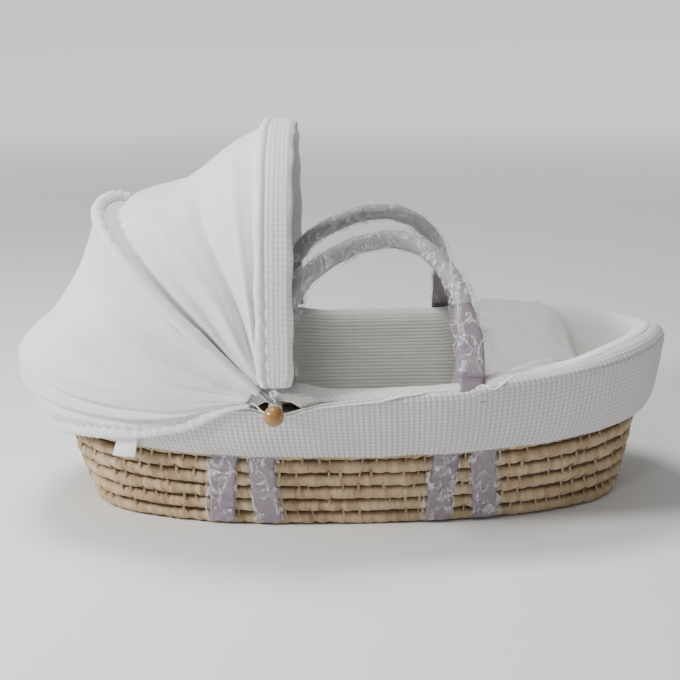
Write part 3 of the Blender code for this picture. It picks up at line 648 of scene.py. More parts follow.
MATERIALS = {
    "wicker": palm_leaf("wicker_look"),
    # A darkened copy of the wicker: painted shade for the backing seen through the gaps between
    # coils.
    "core": palm_leaf("wicker_gap_shadow_look", 0.30),
    "skirt": waffle_cotton("skirt_waffle", (0.79, 0.775, 0.775), (0.69, 0.67, 0.67),
                           groove_shade=0.72, rows=0.80),
    "cuff": waffle_cotton("cuff_waffle", (0.80, 0.80, 0.785), (0.74, 0.74, 0.725), 0.0006,
                          groove_shade=0.36),
    "liner": waffle_cotton("liner_waffle", (0.74, 0.73, 0.685), (0.66, 0.65, 0.60), 0.0005,
                           0.26, 0.28, plain_from=0.20),
    "coverlet": waffle_cotton("coverlet_waffle", (0.78, 0.775, 0.745), (0.71, 0.705, 0.665),
                              groove_shade=0.32, cross=0.45),
    "liner_roll": waffle_cotton("liner_roll_waffle", (0.80, 0.795, 0.77), (0.74, 0.735, 0.705),
                                groove_shade=0.50),
    "hood": plain_cotton("hood_cloth", (0.79, 0.81, 0.805), (0.70, 0.72, 0.715), 0.0034),
    "mattress": plain_cotton("mattress_cloth", (0.80, 0.79, 0.76), (0.72, 0.71, 0.68), 0.0008),
    "binding": plain_cotton("binding_cloth", (0.80, 0.80, 0.79), (0.74, 0.74, 0.73), 0.0005),
    "label": plain_cotton("label_cloth", (0.86, 0.86, 0.87), (0.80, 0.80, 0.82), 0.0003),
    "webbing": wrapped_webbing("webbing_look", (0.30, 0.24, 0.285), (0.18, 0.138, 0.175), 0.6),
    "grip": wrapped_webbing("grip_look", (0.46, 0.435, 0.455), (0.30, 0.28, 0.295), 0.5),
    "film": clear_film("film_look"),
    "wood": varnished_wood("knob_look"),
    "zinc": zinc("zinc_look"),
    "cord": twisted_cord("cord_look"),
}


# ---- camera, light and floor ----------------------------------------------------------------
def make_camera():
    data = bpy.data.cameras.new("camera")
    data.lens = 66.27
    data.sensor_width = 36.0
    camera = bpy.data.objects.new("camera", data)
    camera.location = (-0.012, -1.662, 0.62)
    camera.rotation_euler = [math.radians(value) for value in (76.075, 1.001, -0.305)]
    bpy.context.scene.collection.objects.link(camera)
    bpy.context.scene.camera = camera


def make_light(name, place, target, size, power, color=(1, 1, 1)):
    data = bpy.data.lights.new(name, "AREA")
    data.shape = "DISK"
    data.size = size
    data.energy = power
    data.color = color
    light = bpy.data.objects.new(name, data)
    light.location = place
    light.rotation_euler = (Vector(target) - Vector(place)).to_track_quat("-Z", "Y").to_euler()
    bpy.context.scene.collection.objects.link(light)


def make_studio():
    world = bpy.data.worlds.new("studio")
    world.use_nodes = True
    background = world.node_tree.nodes["Background"]
    background.inputs["Color"].default_value = (0.98, 0.99, 1.0, 1.0)
    links, nodes = world.node_tree.links, world.node_tree.nodes
    height = nodes.new("ShaderNodeSeparateXYZ")
    horizon = nodes.new("ShaderNodeMapRange")
    for socket, value in (("From Min", 0.03), ("From Max", 0.08),
                          ("To Min", 1.0), ("To Max", 0.28)):
        horizon.inputs[socket].default_value = value
    links.new(nodes.new("ShaderNodeTexCoord").outputs["Generated"], height.inputs[0])
    links.new(height.outputs["Z"], horizon.inputs["Value"])
    links.new(horizon.outputs["Result"], background.inputs["Strength"])
    bpy.context.scene.world = world
    make_light("key", (-2.3, -1.0, 1.6), (-0.05, 0, 0.2), 0.6, 90, (1.0, 0.99, 0.97))
    make_light("top", (-0.5, 0.4, 2.6), (0, 0, 0.2), 1.0, 52)
    make_light("glint", (-0.2, -1.7, 1.9), (0.1, 0, 0.3), 0.25, 5)
    points = np.array([[(x, y, -0.0006) for y in (-40.0, 40.0)] for x in (-40.0, 40.0)])
    floor = grid("floor", points, pale_floor("floor_look"), (80, 80), body=None)


# ---- wicker ---------------------------------------------------------------------------------
def coil_frame(angles, up, inset):
    """Middle line of one coil, with the directions out of the wall and up along it."""
    middle = wall(angles, up, inset)
    tangent = ring_tangent(middle)
    slope = unit(wall(angles, up + 0.02, inset) - wall(angles, up - 0.02, inset))
    outward = unit(np.cross(tangent, slope))
    return middle, outward, slope


def make_coil(index, up, half_height, count, sides):
    """One row of the wall: a coil that bulges between its stitches and is lumpy with its wraps."""
    angles, length = even_angles(count, up, COIL_DEPTH)
    middle, outward, slope = coil_frame(angles, up, COIL_DEPTH)
    stitches = round(length / STITCH_PITCH)
    shifts = np.array([rng.uniform(-0.22, 0.22) for _ in range(stitches)])
    starts = (np.arange(stitches) + shifts) / stitches
    starts = np.sort((starts + rng.random()) % 1.0)
    place = np.arange(count) / count
    gap = np.min(np.abs((place[:, None] - starts[None] + 0.5) % 1.0 - 0.5), axis=1) * length
    lumps = wobble(middle, 0.0085, index * 5.1) * 0.16 + wobble(middle, 0.024, index * 2.3) * 0.10
    scale = 1.0 + lumps - 0.10 * bump_at(gap, 0.0, 0.0030)
    drift = wobble(middle, 0.07, index * 3.7) * 0.0012
    angle = circle(sides)
    cosine, sine = np.cos(angle)[None, :, None], np.sin(angle)[None, :, None]
    rings = (middle[:, None] + drift[:, None, None] * slope[:, None]
             + scale[:, None, None] * (COIL_DEPTH * cosine * outward[:, None]
                                       + half_height * sine * slope[:, None]))
    coil = grid("coil", rings, MATERIALS["wicker"], (length, COIL_WRAP), wrap_rows=True,
                wrap_columns=True, body=None)
    swap_uv(coil, 0.37 * index)
    return coil, starts * length, length


def swap_uv(obj, offset):
    """Run the first cloth coordinate along the piece instead of round it."""
    layer = obj.data.uv_layers[0]
    write_uv(layer, values_of(layer.data, "uv", 2)[:, ::-1] + (offset, 0.0))


def make_stitch(place, lean, up, pitch_up, width):
    """A leaf strip that ties a coil to the one below, across the groove between them."""
    rise = np.linspace(-0.30, 0.30, 7)
    angle = place + lean * rise
    centre = wall(angle, up + rise * pitch_up, 0.0)
    nearby = wall(angle + 0.002, up + rise * pitch_up, 0.0)
    tangent = unit(nearby - centre)
    slope = unit(np.gradient(centre, axis=0))
    outward = unit(np.cross(tangent, slope))
    depth = -0.0004 - 0.0040 * np.cos(rise / 0.30 * math.pi / 2) ** 2
    centre = centre + outward * depth[:, None]
    ring = circle(6)[None, :, None]
    taper = (0.45 + 0.55 * np.cos(rise / 0.30 * 1.2))[:, None, None]
    return (centre[:, None] + taper * width * np.cos(ring) * tangent[:, None]
            + 0.0009 * np.sin(ring) * outward[:, None])


def make_wicker():
    pitch_up = 1.0 / COIL_ROWS
    coils, stitches = [], []
    visible = int(math.ceil(SKIRT_BOTTOM / pitch_up)) + 1
    for index in range(COIL_ROWS):
        up = (index + 0.5) * pitch_up
        slant = 0.5 * pitch_up * RIM_HEIGHT * 0.98
        fine = index < visible
        coil, marks, length = make_coil(index, up, slant, 900 if fine else 300, 12 if fine else 8)
        coils.append(coil)
        if not fine or index == 0:
            continue
        dense = np.linspace(0, 2 * math.pi, 2001)
        run = run_along(wall(dense, up, COIL_DEPTH))
        for mark in marks:
            angle = np.interp(mark, run, dense)
            lean = rng.uniform(-0.012, 0.018)
            width = rng.uniform(0.0011, 0.0024)
            if rng.random() < STITCH_SHARE:
                stitches.append(make_stitch(angle, lean, index * pitch_up, pitch_up, width))
    # Painted shade: a dark copy of the wicker behind the coils, so that the gaps between rows look
    # shaded.
    angles = even_angles(400, 0.3)[0]
    heights = np.linspace(0.04, 0.97, 16)[:, None]
    gap_shadow_backing = grid("wicker_gap_shadow_backing", wall(angles[None], heights, COIL_DEPTH), MATERIALS["core"],
                   (0.2, 2.0), wrap_columns=True)
    fine_rows = join("wicker_rows_outer", coils[:visible], MATERIALS["wicker"])
    top_rows = join("wicker_rows_upper", coils[visible:], MATERIALS["wicker"])
    strips = [grid("strip", rings, MATERIALS["wicker"], (0.014, 0.009), wrap_columns=True,
                   body=None) for rings in stitches]
    strips = join("wicker_stitches", strips, MATERIALS["wicker"])
    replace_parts(fine_rows, "basket_wall")
    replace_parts(top_rows, "rim_coil")
    base = []
    for ring in range(FLOOR_RINGS):
        inset = 0.0165 + ring * 0.0188
        angles, length = even_angles(360, 0.0, inset)
        middle = wall(angles, 0.0, inset)
        middle[:, 2] = FLOOR_COIL_Z
        outward = np.cross(ring_tangent(middle), (0.0, 0.0, 1.0))
        angle = circle(8)[None, :, None]
        width = 0.0098 if ring < FLOOR_RINGS - 1 else 0.0165
        rings = (middle[:, None] + width * np.cos(angle) * outward[:, None]
                 + 0.0088 * np.sin(angle) * np.array([0, 0, 1.0]))
        coil = grid("coil", rings, MATERIALS["wicker"], (length, COIL_WRAP), wrap_rows=True,
                    wrap_columns=True, body=None)
        swap_uv(coil, 0.21 * ring)
        base.append(coil)
    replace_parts(join("wicker_base_coils", base, MATERIALS["wicker"]), "basket_floor")


# ---- cross straps ---------------------------------------------------------------------------
def strap_middle(end, pair, up):
    middle = mix(STRAP_FLOOR_X[end], STRAP_TOP_X[end], smooth((up - 0.45) / (STRAP_TOP - 0.45)))
    return middle + pair * mix(STRAP_FOOT_SPREAD, STRAP_TOP_SPREAD, up / STRAP_TOP)


def make_cross_straps():
    for end in STRAP_FLOOR_X:
        for pair, pair_name in ((-1, "rear"), (1, "front")):
            climb = []
            columns = np.linspace(-0.5, 0.5, 9)
            for side in (-1, 1):
                rows = []
                for up in np.linspace(0.022, STRAP_TOP, 44):
                    x = strap_middle(end, pair, up) + columns * STRAP_WIDTH
                    puckers = (0.0006 * math.sin(up * 61 + pair * 1.3)
                               + 0.0005 * np.sin(columns * 9 + up * 37))
                    outset = 0.0014 + 0.0014 * abs(math.sin(up * COIL_ROWS * math.pi)) + puckers
                    rows.append(wall_at(x, up, side, outset))
                foot_x = strap_middle(end, pair, 0.0) + columns * STRAP_WIDTH
                under = wall_at(foot_x, 0.004, side, -0.004)
                under[:, 2] = 0.0004
                rows.insert(0, under)
                climb.append(np.array(rows))
            points = np.vstack([climb[0][::-1], climb[1]])
            name = "strap_%s_%s" % (end, pair_name)
            strap = grid(name + "_webbing", points, MATERIALS["webbing"],
                         (STRAP_LENGTH, STRAP_WIDTH))
            thicken(strap, 0.0016)
            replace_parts(strap, name)
            make_strap_film(name, end, pair)


def make_strap_film(name, end, pair):
    """Loose clear film round a cross strap, on each side of the basket."""
    for side_name, side in SIDES:
        columns = np.linspace(-0.5, 0.5, 12) + 0.04 * pair
        rows = []
        for up in np.linspace(0.03, STRAP_TOP, 56):
            x = strap_middle(end, pair, up) + columns * (STRAP_WIDTH + 0.0095)
            rows.append(wall_at(x, up, side, 0.0040 - 0.0030 * np.abs(columns * 2) ** 4))
        points = np.array(rows)
        fold = 1 - 2.4 * np.abs(wobble(points, 0.020, 4.0 + pair)) + wobble(points, 0.008, 1.0)
        points[..., 1] += side * 0.0016 * fold
        film = grid("%s_film_%s" % (name, side_name), points, MATERIALS["film"], (0.2, 0.04),
                    smooth_faces=False)
        thicken(film, 0.0002)


# ---- skirt and liner ------------------------------------------------------------------------
# A profile's rows are (up, inset, lift), as in wall().
SKIRT_PROFILE = ((1.0, 0.0070, 0.0010), (1.0, 0.0062, 0.0052), (1.0, 0.0010, 0.0072),
                 (1.0, -0.0070, 0.0048), (1.0, -0.0128, -0.0040), (0.90, -0.0150, 0.0),
                 (0.76, -0.0152, 0.0), (0.64, -0.0136, 0.0), (0.572, -0.0094, 0.0),
                 (SKIRT_BOTTOM, -0.0062, 0.0), (0.560, -0.0036, 0.0))
KNOB_GAP_X = PIVOT.x + 0.0035
# X and height of the skirt's top edge along the sides.
SKIRT_EDGE = ((-0.300, 0.182), (-0.114, 0.182), (-0.105, 0.1778), (-0.0955, 0.1755),
              (-0.0855, 0.1745), (-0.0785, 0.1748), (-0.068, 0.1775), (-0.057, 0.1810),
              (-0.036, 0.187), (-0.006, 0.1905), (0.060, 0.194), (0.100, 0.1965),
              (0.155, 0.202), (0.300, 0.205))
# Distance from the knob, and the share of its profile that the liner's border reaches down there.
KNOB_GAP = ((0.0, 0.665), (0.0055, 0.670), (0.0165, 0.688), (0.0285, 0.775), (0.05, 0.90),
            (0.08, 1.0))


def profile_curve(profile, count):
    """Points down a profile, an even distance apart."""
    scale = (RIM_HEIGHT, 1.0, 1.0)
    return spline(np.array(profile) * scale, count) / scale


def profile_length(profile):
    """The profile's length at mid length, where the wall's side is straight."""
    return length_of(wall(np.full(len(profile), 1.5 * math.pi), *np.array(profile).T))


def surface_normals(points, wrap=True):
    if wrap:
        along = np.roll(points, -1, 1) - np.roll(points, 1, 1)
    else:
        along = np.gradient(points, axis=1)
    down = np.gradient(points, axis=0)
    return unit(np.cross(along, down))


def cells(rows, columns):
    """1 in the middle of each waffle cell and 0 at its corners, on a grid at half-cell steps."""
    high = (np.arange(rows) % 2)[:, None] * (np.arange(columns) % 2)[None]
    edge = ((np.arange(rows)[:, None] + np.arange(columns)[None]) % 2) * 0.35
    return high + edge


def slipped(points):
    """Share of the skirt's height that its top lacks, so that its edge follows SKIRT_EDGE."""
    marks = np.linspace(0, 1, len(points))
    cut = []
    for column in np.swapaxes(points, 0, 1):
        peak = int(column[:, 2].argmax())
        target = np.interp(column[peak, 0], *np.array(SKIRT_EDGE).T)
        cut.append(np.interp(-target, -column[peak:, 2], marks[peak:]))
    x, y = points[0, :, 0], points[0, :, 1]
    sides = smooth((np.abs(y) - 0.12) / 0.05)
    return np.array(cut) * sides * smooth((x + 0.30) / 0.14) * (1 - smooth((x - 0.160) / 0.05))


def make_skirt():
    length = even_angles(100, 0.8, -0.015)[1]
    count = int(length / (CELL_LONG / 2)) // 2 * 2
    angles = even_angles(count, 0.8, -0.015)[0]
    run = profile_length(SKIRT_PROFILE)
    rows = int(run / (CELL_WIDE / 2)) // 2 * 2 + 1
    dense = profile_curve(SKIRT_PROFILE, 400)
    marks = np.linspace(0, 1, 400)

    def at(share):
        return wall(angles[None], *lookup(share, marks, dense))

    cut = slipped(at(marks[:, None] + 0 * angles[None]))
    even = np.linspace(0, 1, rows)[:, None] + 0 * cut[None]
    share = np.maximum(even, cut[None])
    points = at(share)
    normals = surface_normals(at(even))
    normals *= np.sign(np.sum(normals[rows // 2, 0] * (1, 0, 0)))
    first = np.minimum(rows - 1, np.ceil(cut * (rows - 1)).astype(int))
    row = np.maximum(np.arange(rows)[:, None], first[None])
    normals = normals[row, np.arange(count)[None]]
    rise = smooth((share - cut[None]) * run / 0.006)
    slack = 0.0016 * wobble(points, 0.055, 5.0) + 0.0006 * wobble(points, 0.02, 2.0)
    points = points + normals * (slack + 0.0012 * cells(rows, count) * rise)[..., None]
    open_rows = even[1:] > cut[None]
    keep = open_rows | np.roll(open_rows, -1, 1)
    skirt = grid("skirt_waffle_cloth", points, MATERIALS["skirt"],
                 ((rows - 1) * CELL_WIDE / 2, count * CELL_LONG / 2), wrap_columns=True, keep=keep)
    modifier(skirt, "WELD", merge_threshold=0.00001)
    thicken(skirt, 0.0012, -1.0)
    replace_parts(skirt, "skirt")
    make_bindings(at(cut[None])[0], at(cut[None] + 0.0032 / run)[0], normals[0])


def make_bindings(edge, below, out):
    """The skirt's folded and corded top edge: a smooth flat band and a fine cord above it."""
    band = tube("skirt_edge_band", below + out * 0.0014, 0.0030, MATERIALS["binding"], 12,
                squash=0.42, closed=True)
    cord = tube("skirt_edge_cord", edge + out * 0.0008, 0.0011, MATERIALS["binding"], 8,
                closed=True)


ROLLOVER = ((1.0, 0.0240, 0.0040), (1.0, 0.0160, 0.0126), (1.0, 0.0070, 0.0128),
            (1.0, -0.0010, 0.0102), (1.0, -0.0060, 0.0046), (1.0, -0.0094, -0.0025),
            (0.95, -0.0106, 0.0), (0.90, -0.0112, 0.0), (0.86, -0.0110, 0.0),
            (0.82, -0.0106, 0.0))
ROLLOVER_X = (-0.215, 0.225)


def make_rollovers():
    """The liner's border, folded over the long sides and pulled up round the knobs."""
    for side_name, side in SIDES:
        x = np.linspace(*ROLLOVER_X, 150)
        profile = profile_curve(ROLLOVER, 34)
        reach = np.interp(np.abs(x - KNOB_GAP_X), *np.array(KNOB_GAP).T)
        marks = np.linspace(0, 1, 34)
        up, inset, lift = lookup(marks[:, None] * reach[None], marks, profile)
        points = wall_at(x[None] + 0 * up, up, side, -inset)
        points[..., 2] += lift * fullness(points[..., 0])
        normals = surface_normals(points, wrap=False)
        outward = np.sign(np.sum(normals * (points - (0.0, side * 0.18, 0.16)), -1))[..., None]
        soft = 0.0014 * wobble(points, 0.05, 3.0) + 0.0009 * wobble(points, 0.018, 9.0)
        ends = smooth(np.minimum(x - ROLLOVER_X[0], ROLLOVER_X[1] - x) / 0.045)
        points = points + normals * outward * (soft - 0.006 * (1 - ends))[..., None]
        border = grid("liner_rollover_" + side_name, points, MATERIALS["liner_roll"],
                      (0.066, 0.44))
        turn_uv(border, 0.62)
        thicken(border, 0.0016, 0.0)
        roll = tube("liner_rollover_edge_" + side_name, points[-1], 0.0012, MATERIALS["binding"], 8)


def turn_uv(obj, angle):
    """Lay the weave at an angle to the piece."""
    layer = obj.data.uv_layers[0]
    x, y = values_of(layer.data, "uv", 2).T
    cosine, sine = math.cos(angle), math.sin(angle)
    write_uv(layer, np.stack([x * cosine - y * sine, x * sine + y * cosine], -1))


LINER_PROFILE = ((0.20, 0.0175, 0.0), (0.44, 0.0172, 0.0), (0.70, 0.0175, 0.0),
                 (0.94, 0.0180, 0.0), (1.0, 0.0140, -0.0010), (1.0, 0.0065, 0.0040),
                 (1.0, 0.0040, 0.0078), (1.0, 0.0088, 0.0108), (1.0, 0.0160, 0.0112),
                 (1.0, 0.0225, 0.0078), (1.0, 0.0265, 0.0), (0.94, 0.0290, 0.0),
                 (0.80, 0.0300, 0.0), (0.60, 0.0290, 0.0), (0.40, 0.0275, 0.0),
                 (0.20, 0.0260, 0.0))


def make_liner():
    length = even_angles(100, 0.9, 0.02)[1]
    count = int(length / 0.0045)
    angles = even_angles(count, 0.9, 0.02)[0]
    rows = profile_curve(LINER_PROFILE, int(profile_length(LINER_PROFILE) / (CELL_WIDE / 2)) + 1)
    points = wall(angles[None], rows[:, :1], rows[:, 1:2], rows[:, 2:3])
    normals = surface_normals(points)
    lumps = wobble(points, 0.085, 2.0) * 0.0026 + wobble(points, 0.030, 8.0) * 0.0010
    inside = np.linspace(0, 1, len(points))[:, None] > 0.45
    centre = np.array([0.0, 0.0, 0.12])
    toward = np.sign(np.sum(normals * (points - centre), -1))
    points = points - (normals * toward[..., None]) * (lumps * inside)[..., None]
    ribs = (np.arange(len(points)) % 2)[:, None] * inside * smooth((0.26 - points[..., 0]) / 0.05)
    points = points - (normals * toward[..., None]) * (0.0004 * ribs)[..., None]
    liner = grid("liner_waffle_padding", points, MATERIALS["liner"],
                 (len(points) * CELL_WIDE / 2, length), wrap_rows=True, wrap_columns=True)
    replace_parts(liner, "liner")


# ---- bedding --------------------------------------------------------------------------------
def closed_stack(name, rows, material):
    """A body from a stack of rings, closed at the first and the last ring."""
    rows = np.array(rows)
    obj = grid(name, rows, material, (1.0, 1.0), wrap_columns=True, body=None)
    close_ends(obj, rows.shape[1])
    return obj


def make_mattress():
    angles = even_angles(96, 0.1, 0.02)[0]
    rows = []
    for inset, height in ((0.030, 0.0), (0.024, 0.003), (0.0225, 0.012), (0.024, 0.020),
                          (0.032, 0.0225)):
        ring = wall(angles, 0.075, inset)
        ring[:, 2] = MATTRESS_UNDERSIDE + height
        rows.append(ring)
    rows.append(rows[-1] * (0.6, 0.6, 1.0))
    mattress = closed_stack("mattress_foam_cover", rows, MATERIALS["mattress"])
    puff(mattress, 0.004, 2.0, 0.007, 10)
    subdivide(mattress)
    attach(mattress, "basket")
    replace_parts(mattress, "mattress")
    angles = even_angles(240, 0.1, 0.02)[0]
    seam = wall(angles, 0.075, 0.0222)
    seam[:, 2] = MATTRESS_UNDERSIDE + 0.022
    piping = tube("mattress_piping", seam, 0.0016, MATERIALS["binding"], 8, closed=True)


def coverlet_height(x, y):
    """Top of the coverlet: flat at its head edge, then a thick fold that fills the foot end."""
    rise = smooth((x - 0.150) / 0.040)
    full = 0.192 + 0.039 * smooth((y + 0.03) / 0.185) - 0.007 * smooth((x - 0.275) / 0.045)
    along = np.clip((x - 0.165) / 0.135, 0.0, 1.0)
    ridge_y = mix(-0.172, -0.108, along)
    roll = mix(0.012, 0.027, smooth((x - 0.17) / 0.06)) * bump_at(y, ridge_y, 0.019)
    hollow = -0.012 * bump_at(y, ridge_y + 0.043, 0.020) * smooth((x - 0.15) / 0.05)
    edge = np.clip(np.abs(y) / COVERLET_HALF_WIDTH, 0, 1)
    return mix(0.066, full + roll + hollow, rise) - 0.004 * smooth((edge - 0.92) / 0.08)


def make_coverlet():
    count = 88
    angles = circle(count)
    head_x, foot_x = COVERLET_HEAD_X + 0.004, COVERLET_FOOT_X - 0.004
    middle_x = (COVERLET_HEAD_X + COVERLET_FOOT_X) / 2
    low = wall(angles, 0.23, COVERLET_INSET + 0.003)
    border, top = low.copy(), np.zeros(count)
    for _ in range(4):
        top = coverlet_height(np.clip(border[:, 0], head_x, foot_x), border[:, 1])
        border = wall(angles, np.clip((top - 0.004) / SIDE_RIM, 0.23, 0.97), COVERLET_INSET)
    border[:, 0] = np.clip(border[:, 0], head_x, foot_x)
    low[:, 0] = np.clip(low[:, 0], head_x, foot_x - 0.002)
    low[:, 2] = COVERLET_UNDERSIDE
    edge = np.stack([border[:, 0], border[:, 1], top - 0.010], -1)
    rows = [mix(np.array([middle_x, 0.0, COVERLET_UNDERSIDE]), low, 0.90), low,
            mix(low, edge, 0.35), mix(low, edge, 0.7), edge]
    for share in (0.985, 0.94, 0.85, 0.72, 0.56, 0.40, 0.22, 0.08):
        x, y = mix(middle_x, border[:, 0], share), border[:, 1] * share
        rows.append(np.stack([x, y, coverlet_height(x, y) - 0.004 * (share > 0.98)], -1))
    coverlet = closed_stack("coverlet_quilt", rows, MATERIALS["coverlet"])
    puff(coverlet, 0.007, 4.0, 0.006, 14)
    shape_coverlet(coverlet)
    subdivide(coverlet)
    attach(coverlet, "basket")
    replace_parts(coverlet, "coverlet")


def shape_coverlet(obj):
    """Creases by the near roll, soft lumps, and the cloth's own coordinates for its weave."""
    mesh = obj.data
    points = values_of(mesh.vertices, "co", 3)
    upper = points[:, 2] > 0.058
    lumps = wobble(points, 0.075, 4.0) * 0.0035 + wobble(points, 0.028, 9.0) * 0.0012
    points[:, 2] += lumps * upper
    for x, y, length, width, turn, depth in ((0.273, -0.124, 0.024, 0.0042, 1.25, 0.014),
                                             (0.292, -0.100, 0.026, 0.0050, 0.9, 0.009),
                                             (0.235, -0.125, 0.040, 0.0050, 0.55, 0.005),
                                             (0.190, -0.120, 0.050, 0.0060, 0.45, 0.004),
                                             (0.275, 0.010, 0.060, 0.0060, -0.9, 0.004)):
        along = (points[:, 0] - x) * math.cos(turn) + (points[:, 1] - y) * math.sin(turn)
        across = -(points[:, 0] - x) * math.sin(turn) + (points[:, 1] - y) * math.cos(turn)
        points[:, 2] -= depth * bump_at(along, 0, length) * bump_at(across, 0, width) * upper
    mesh.vertices.foreach_set("co", points.ravel())
    mesh.shade_smooth()
    corner = np.empty(len(mesh.loops), np.int32)
    mesh.loops.foreach_get("vertex_index", corner)
    place = points[corner]
    layer = mesh.uv_layers.get("cloth") or mesh.uv_layers.new(name="cloth")
    climb = np.maximum(0, np.abs(place[:, 1]) - 0.10) * 0.8
    across = place[:, 1] + np.sign(place[:, 1]) * climb
    write_uv(layer, np.stack([place[:, 0] * 1.05, across], -1))
    mesh.materials.clear()
    mesh.materials.append(MATERIALS["coverlet"])


# ---- carrying handles -----------------------------------------------------------------------
HANDLE_SHAPE = ((HANDLE_X, 0.0), (0.1475, 0.028), (0.146, 0.060), (0.140, 0.098), (0.125, 0.133),
                (0.101, 0.162), (0.072, 0.177), (0.047, 0.179), (0.015, 0.172), (-0.022, 0.154),
                (-0.052, 0.130), (-0.070, 0.099), (-0.079, 0.061), (-0.078, 0.028),
                (HANDLE_HEAD_X, 0.0))


def hinge_line():
    rim = RIM_HEIGHT + RIM_RISE * (HANDLE_X / RIM_HALF_LENGTH) ** 2.5
    return float(wall_at(HANDLE_X, 1.0, 1)[1] + 0.0008), rim + HANDLE_HINGE_RISE


def handle_frame(side, count, start=0.0):
    """Middle line of a loop in the world, with the directions across it and through its plane."""
    hinge_y, hinge_z = hinge_line()
    flat = spline([(x, 0.0, height) for x, height in HANDLE_SHAPE], 400)
    run = run_along(flat)
    marks = np.linspace(start, run[-1] - start, count)
    flat = np.stack(lookup(marks, run, flat), -1)
    tangent = unit(np.gradient(flat, axis=0))
    across = np.stack([-tangent[:, 2], tangent[:, 1], tangent[:, 0]], -1)
    cosine, sine = math.cos(HANDLE_LEAN), math.sin(HANDLE_LEAN)

    def place(v, shift):
        y, z = v[..., 1], v[..., 2]
        turned = np.stack([v[..., 0], y * cosine - side * z * sine,
                           side * y * sine + z * cosine], -1)
        return turned + (np.array([0.0, side * hinge_y, hinge_z]) if shift else 0.0)

    through = place(np.broadcast_to(np.array([0.0, 1.0, 0.0]), flat.shape), False)
    return place(flat, True), place(across, False), through, marks, run[-1]


def handle_skin(name, side, half_wide, half_deep, count, sides, material, start=0.0,
                ripple=None):
    """A sleeve along a loop; its half sizes are functions of the distance from the nearer foot."""
    middle, across, through, marks, total = handle_frame(side, count, start)
    foot = np.minimum(marks, total - marks)
    head_end = smooth((marks - total + 0.09) / 0.03)
    wide, deep = half_wide(foot) * (1 - 0.32 * head_end), half_deep(foot)
    angle = circle(sides)[None, :, None]
    ring = (np.cos(angle) * wide[:, None, None] * across[:, None]
            + np.sin(angle) * deep[:, None, None] * through[:, None])
    points = middle[:, None] + ring
    if ripple is not None:
        points = points + unit(ring) * ripple(points)[..., None]
    obj = grid(name, points, material, (total - 2 * start, 0.08), wrap_columns=True,
               body=("near" if side < 0 else "far") + "_handle")
    swap_uv(obj, 0.0)
    return obj


def spread(low, high, start, run):
    """A half size that changes from low to high along a run from the loop's foot."""
    return lambda foot: mix(low, high, smooth((foot - start) / run))


def make_handles():
    for side_name, side in SIDES:
        core = handle_skin("handle_webbing_" + side_name, side,
                           spread(0.0158, 0.0050, 0.045, 0.085),
                           spread(0.0018, 0.0048, 0.045, 0.050), 150, 12, MATERIALS["webbing"])
        close_ends(core, 12)
        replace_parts(core, "handle_core_" + side_name)
        grip = handle_skin("handle_padding_" + side_name, side,
                           lambda foot: 0.0114 - 0.0014 * bump_at(foot, 0.092, 0.010),
                           lambda foot: 0.0108 - 0.0048 * bump_at(foot, 0.092, 0.016),
                           180, 20, MATERIALS["grip"], 0.092,
                           lambda points: wobble(points, 0.018, 3.0) * 0.0013)
        close_ends(grip, 20)
        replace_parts(grip, "handle_grip_" + side_name)

        def crinkle(points):
            fold = wobble(points * (1.0, 1.0, 0.7), 0.015, 11.0 + side)
            sharp = 1 - 2.6 * np.abs(wobble(points, 0.026, 23.0 + side))
            return 0.0018 * fold + 0.0020 * sharp - 0.0002

        film = handle_skin("handle_film_wrap_" + side_name, side,
                           spread(0.0190, 0.0138, 0.070, 0.08),
                           spread(0.0075, 0.0132, 0.050, 0.08), 150, 22, MATERIALS["film"],
                           0.004, crinkle)
        film.data.shade_flat()
        thicken(film, 0.0003)
        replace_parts(film, "handle_film_" + side_name)


# Outset from the rim, and drop below the hinge.
ANCHOR = ((0.0012, -0.0045), (0.0032, 0.0020), (0.0072, 0.0085), (0.0108, 0.0150),
          (0.0130, 0.0215), (0.0136, 0.0290))


def make_handle_anchors():
    """The loops' webbing at their foot end, down over the rim and under the skirt."""
    outset, drop = spline([(*pair, 0.0) for pair in ANCHOR], 16)[:, :2].T[..., None]
    columns = HANDLE_X + np.linspace(-0.0154, 0.0154, 7)[None]
    for side_name, side in SIDES:
        points = wall_at(columns, 0.97 + 0 * drop, side, outset)
        points[..., 2] = hinge_line()[1] - drop
        anchor = grid("handle_anchor_" + side_name, points, MATERIALS["webbing"], (0.033, 0.031))
        thicken(anchor, 0.0014)


def relax(obj):
    modifier(obj, "SMOOTH", factor=0.5, iterations=2)
    apply_modifiers(obj)


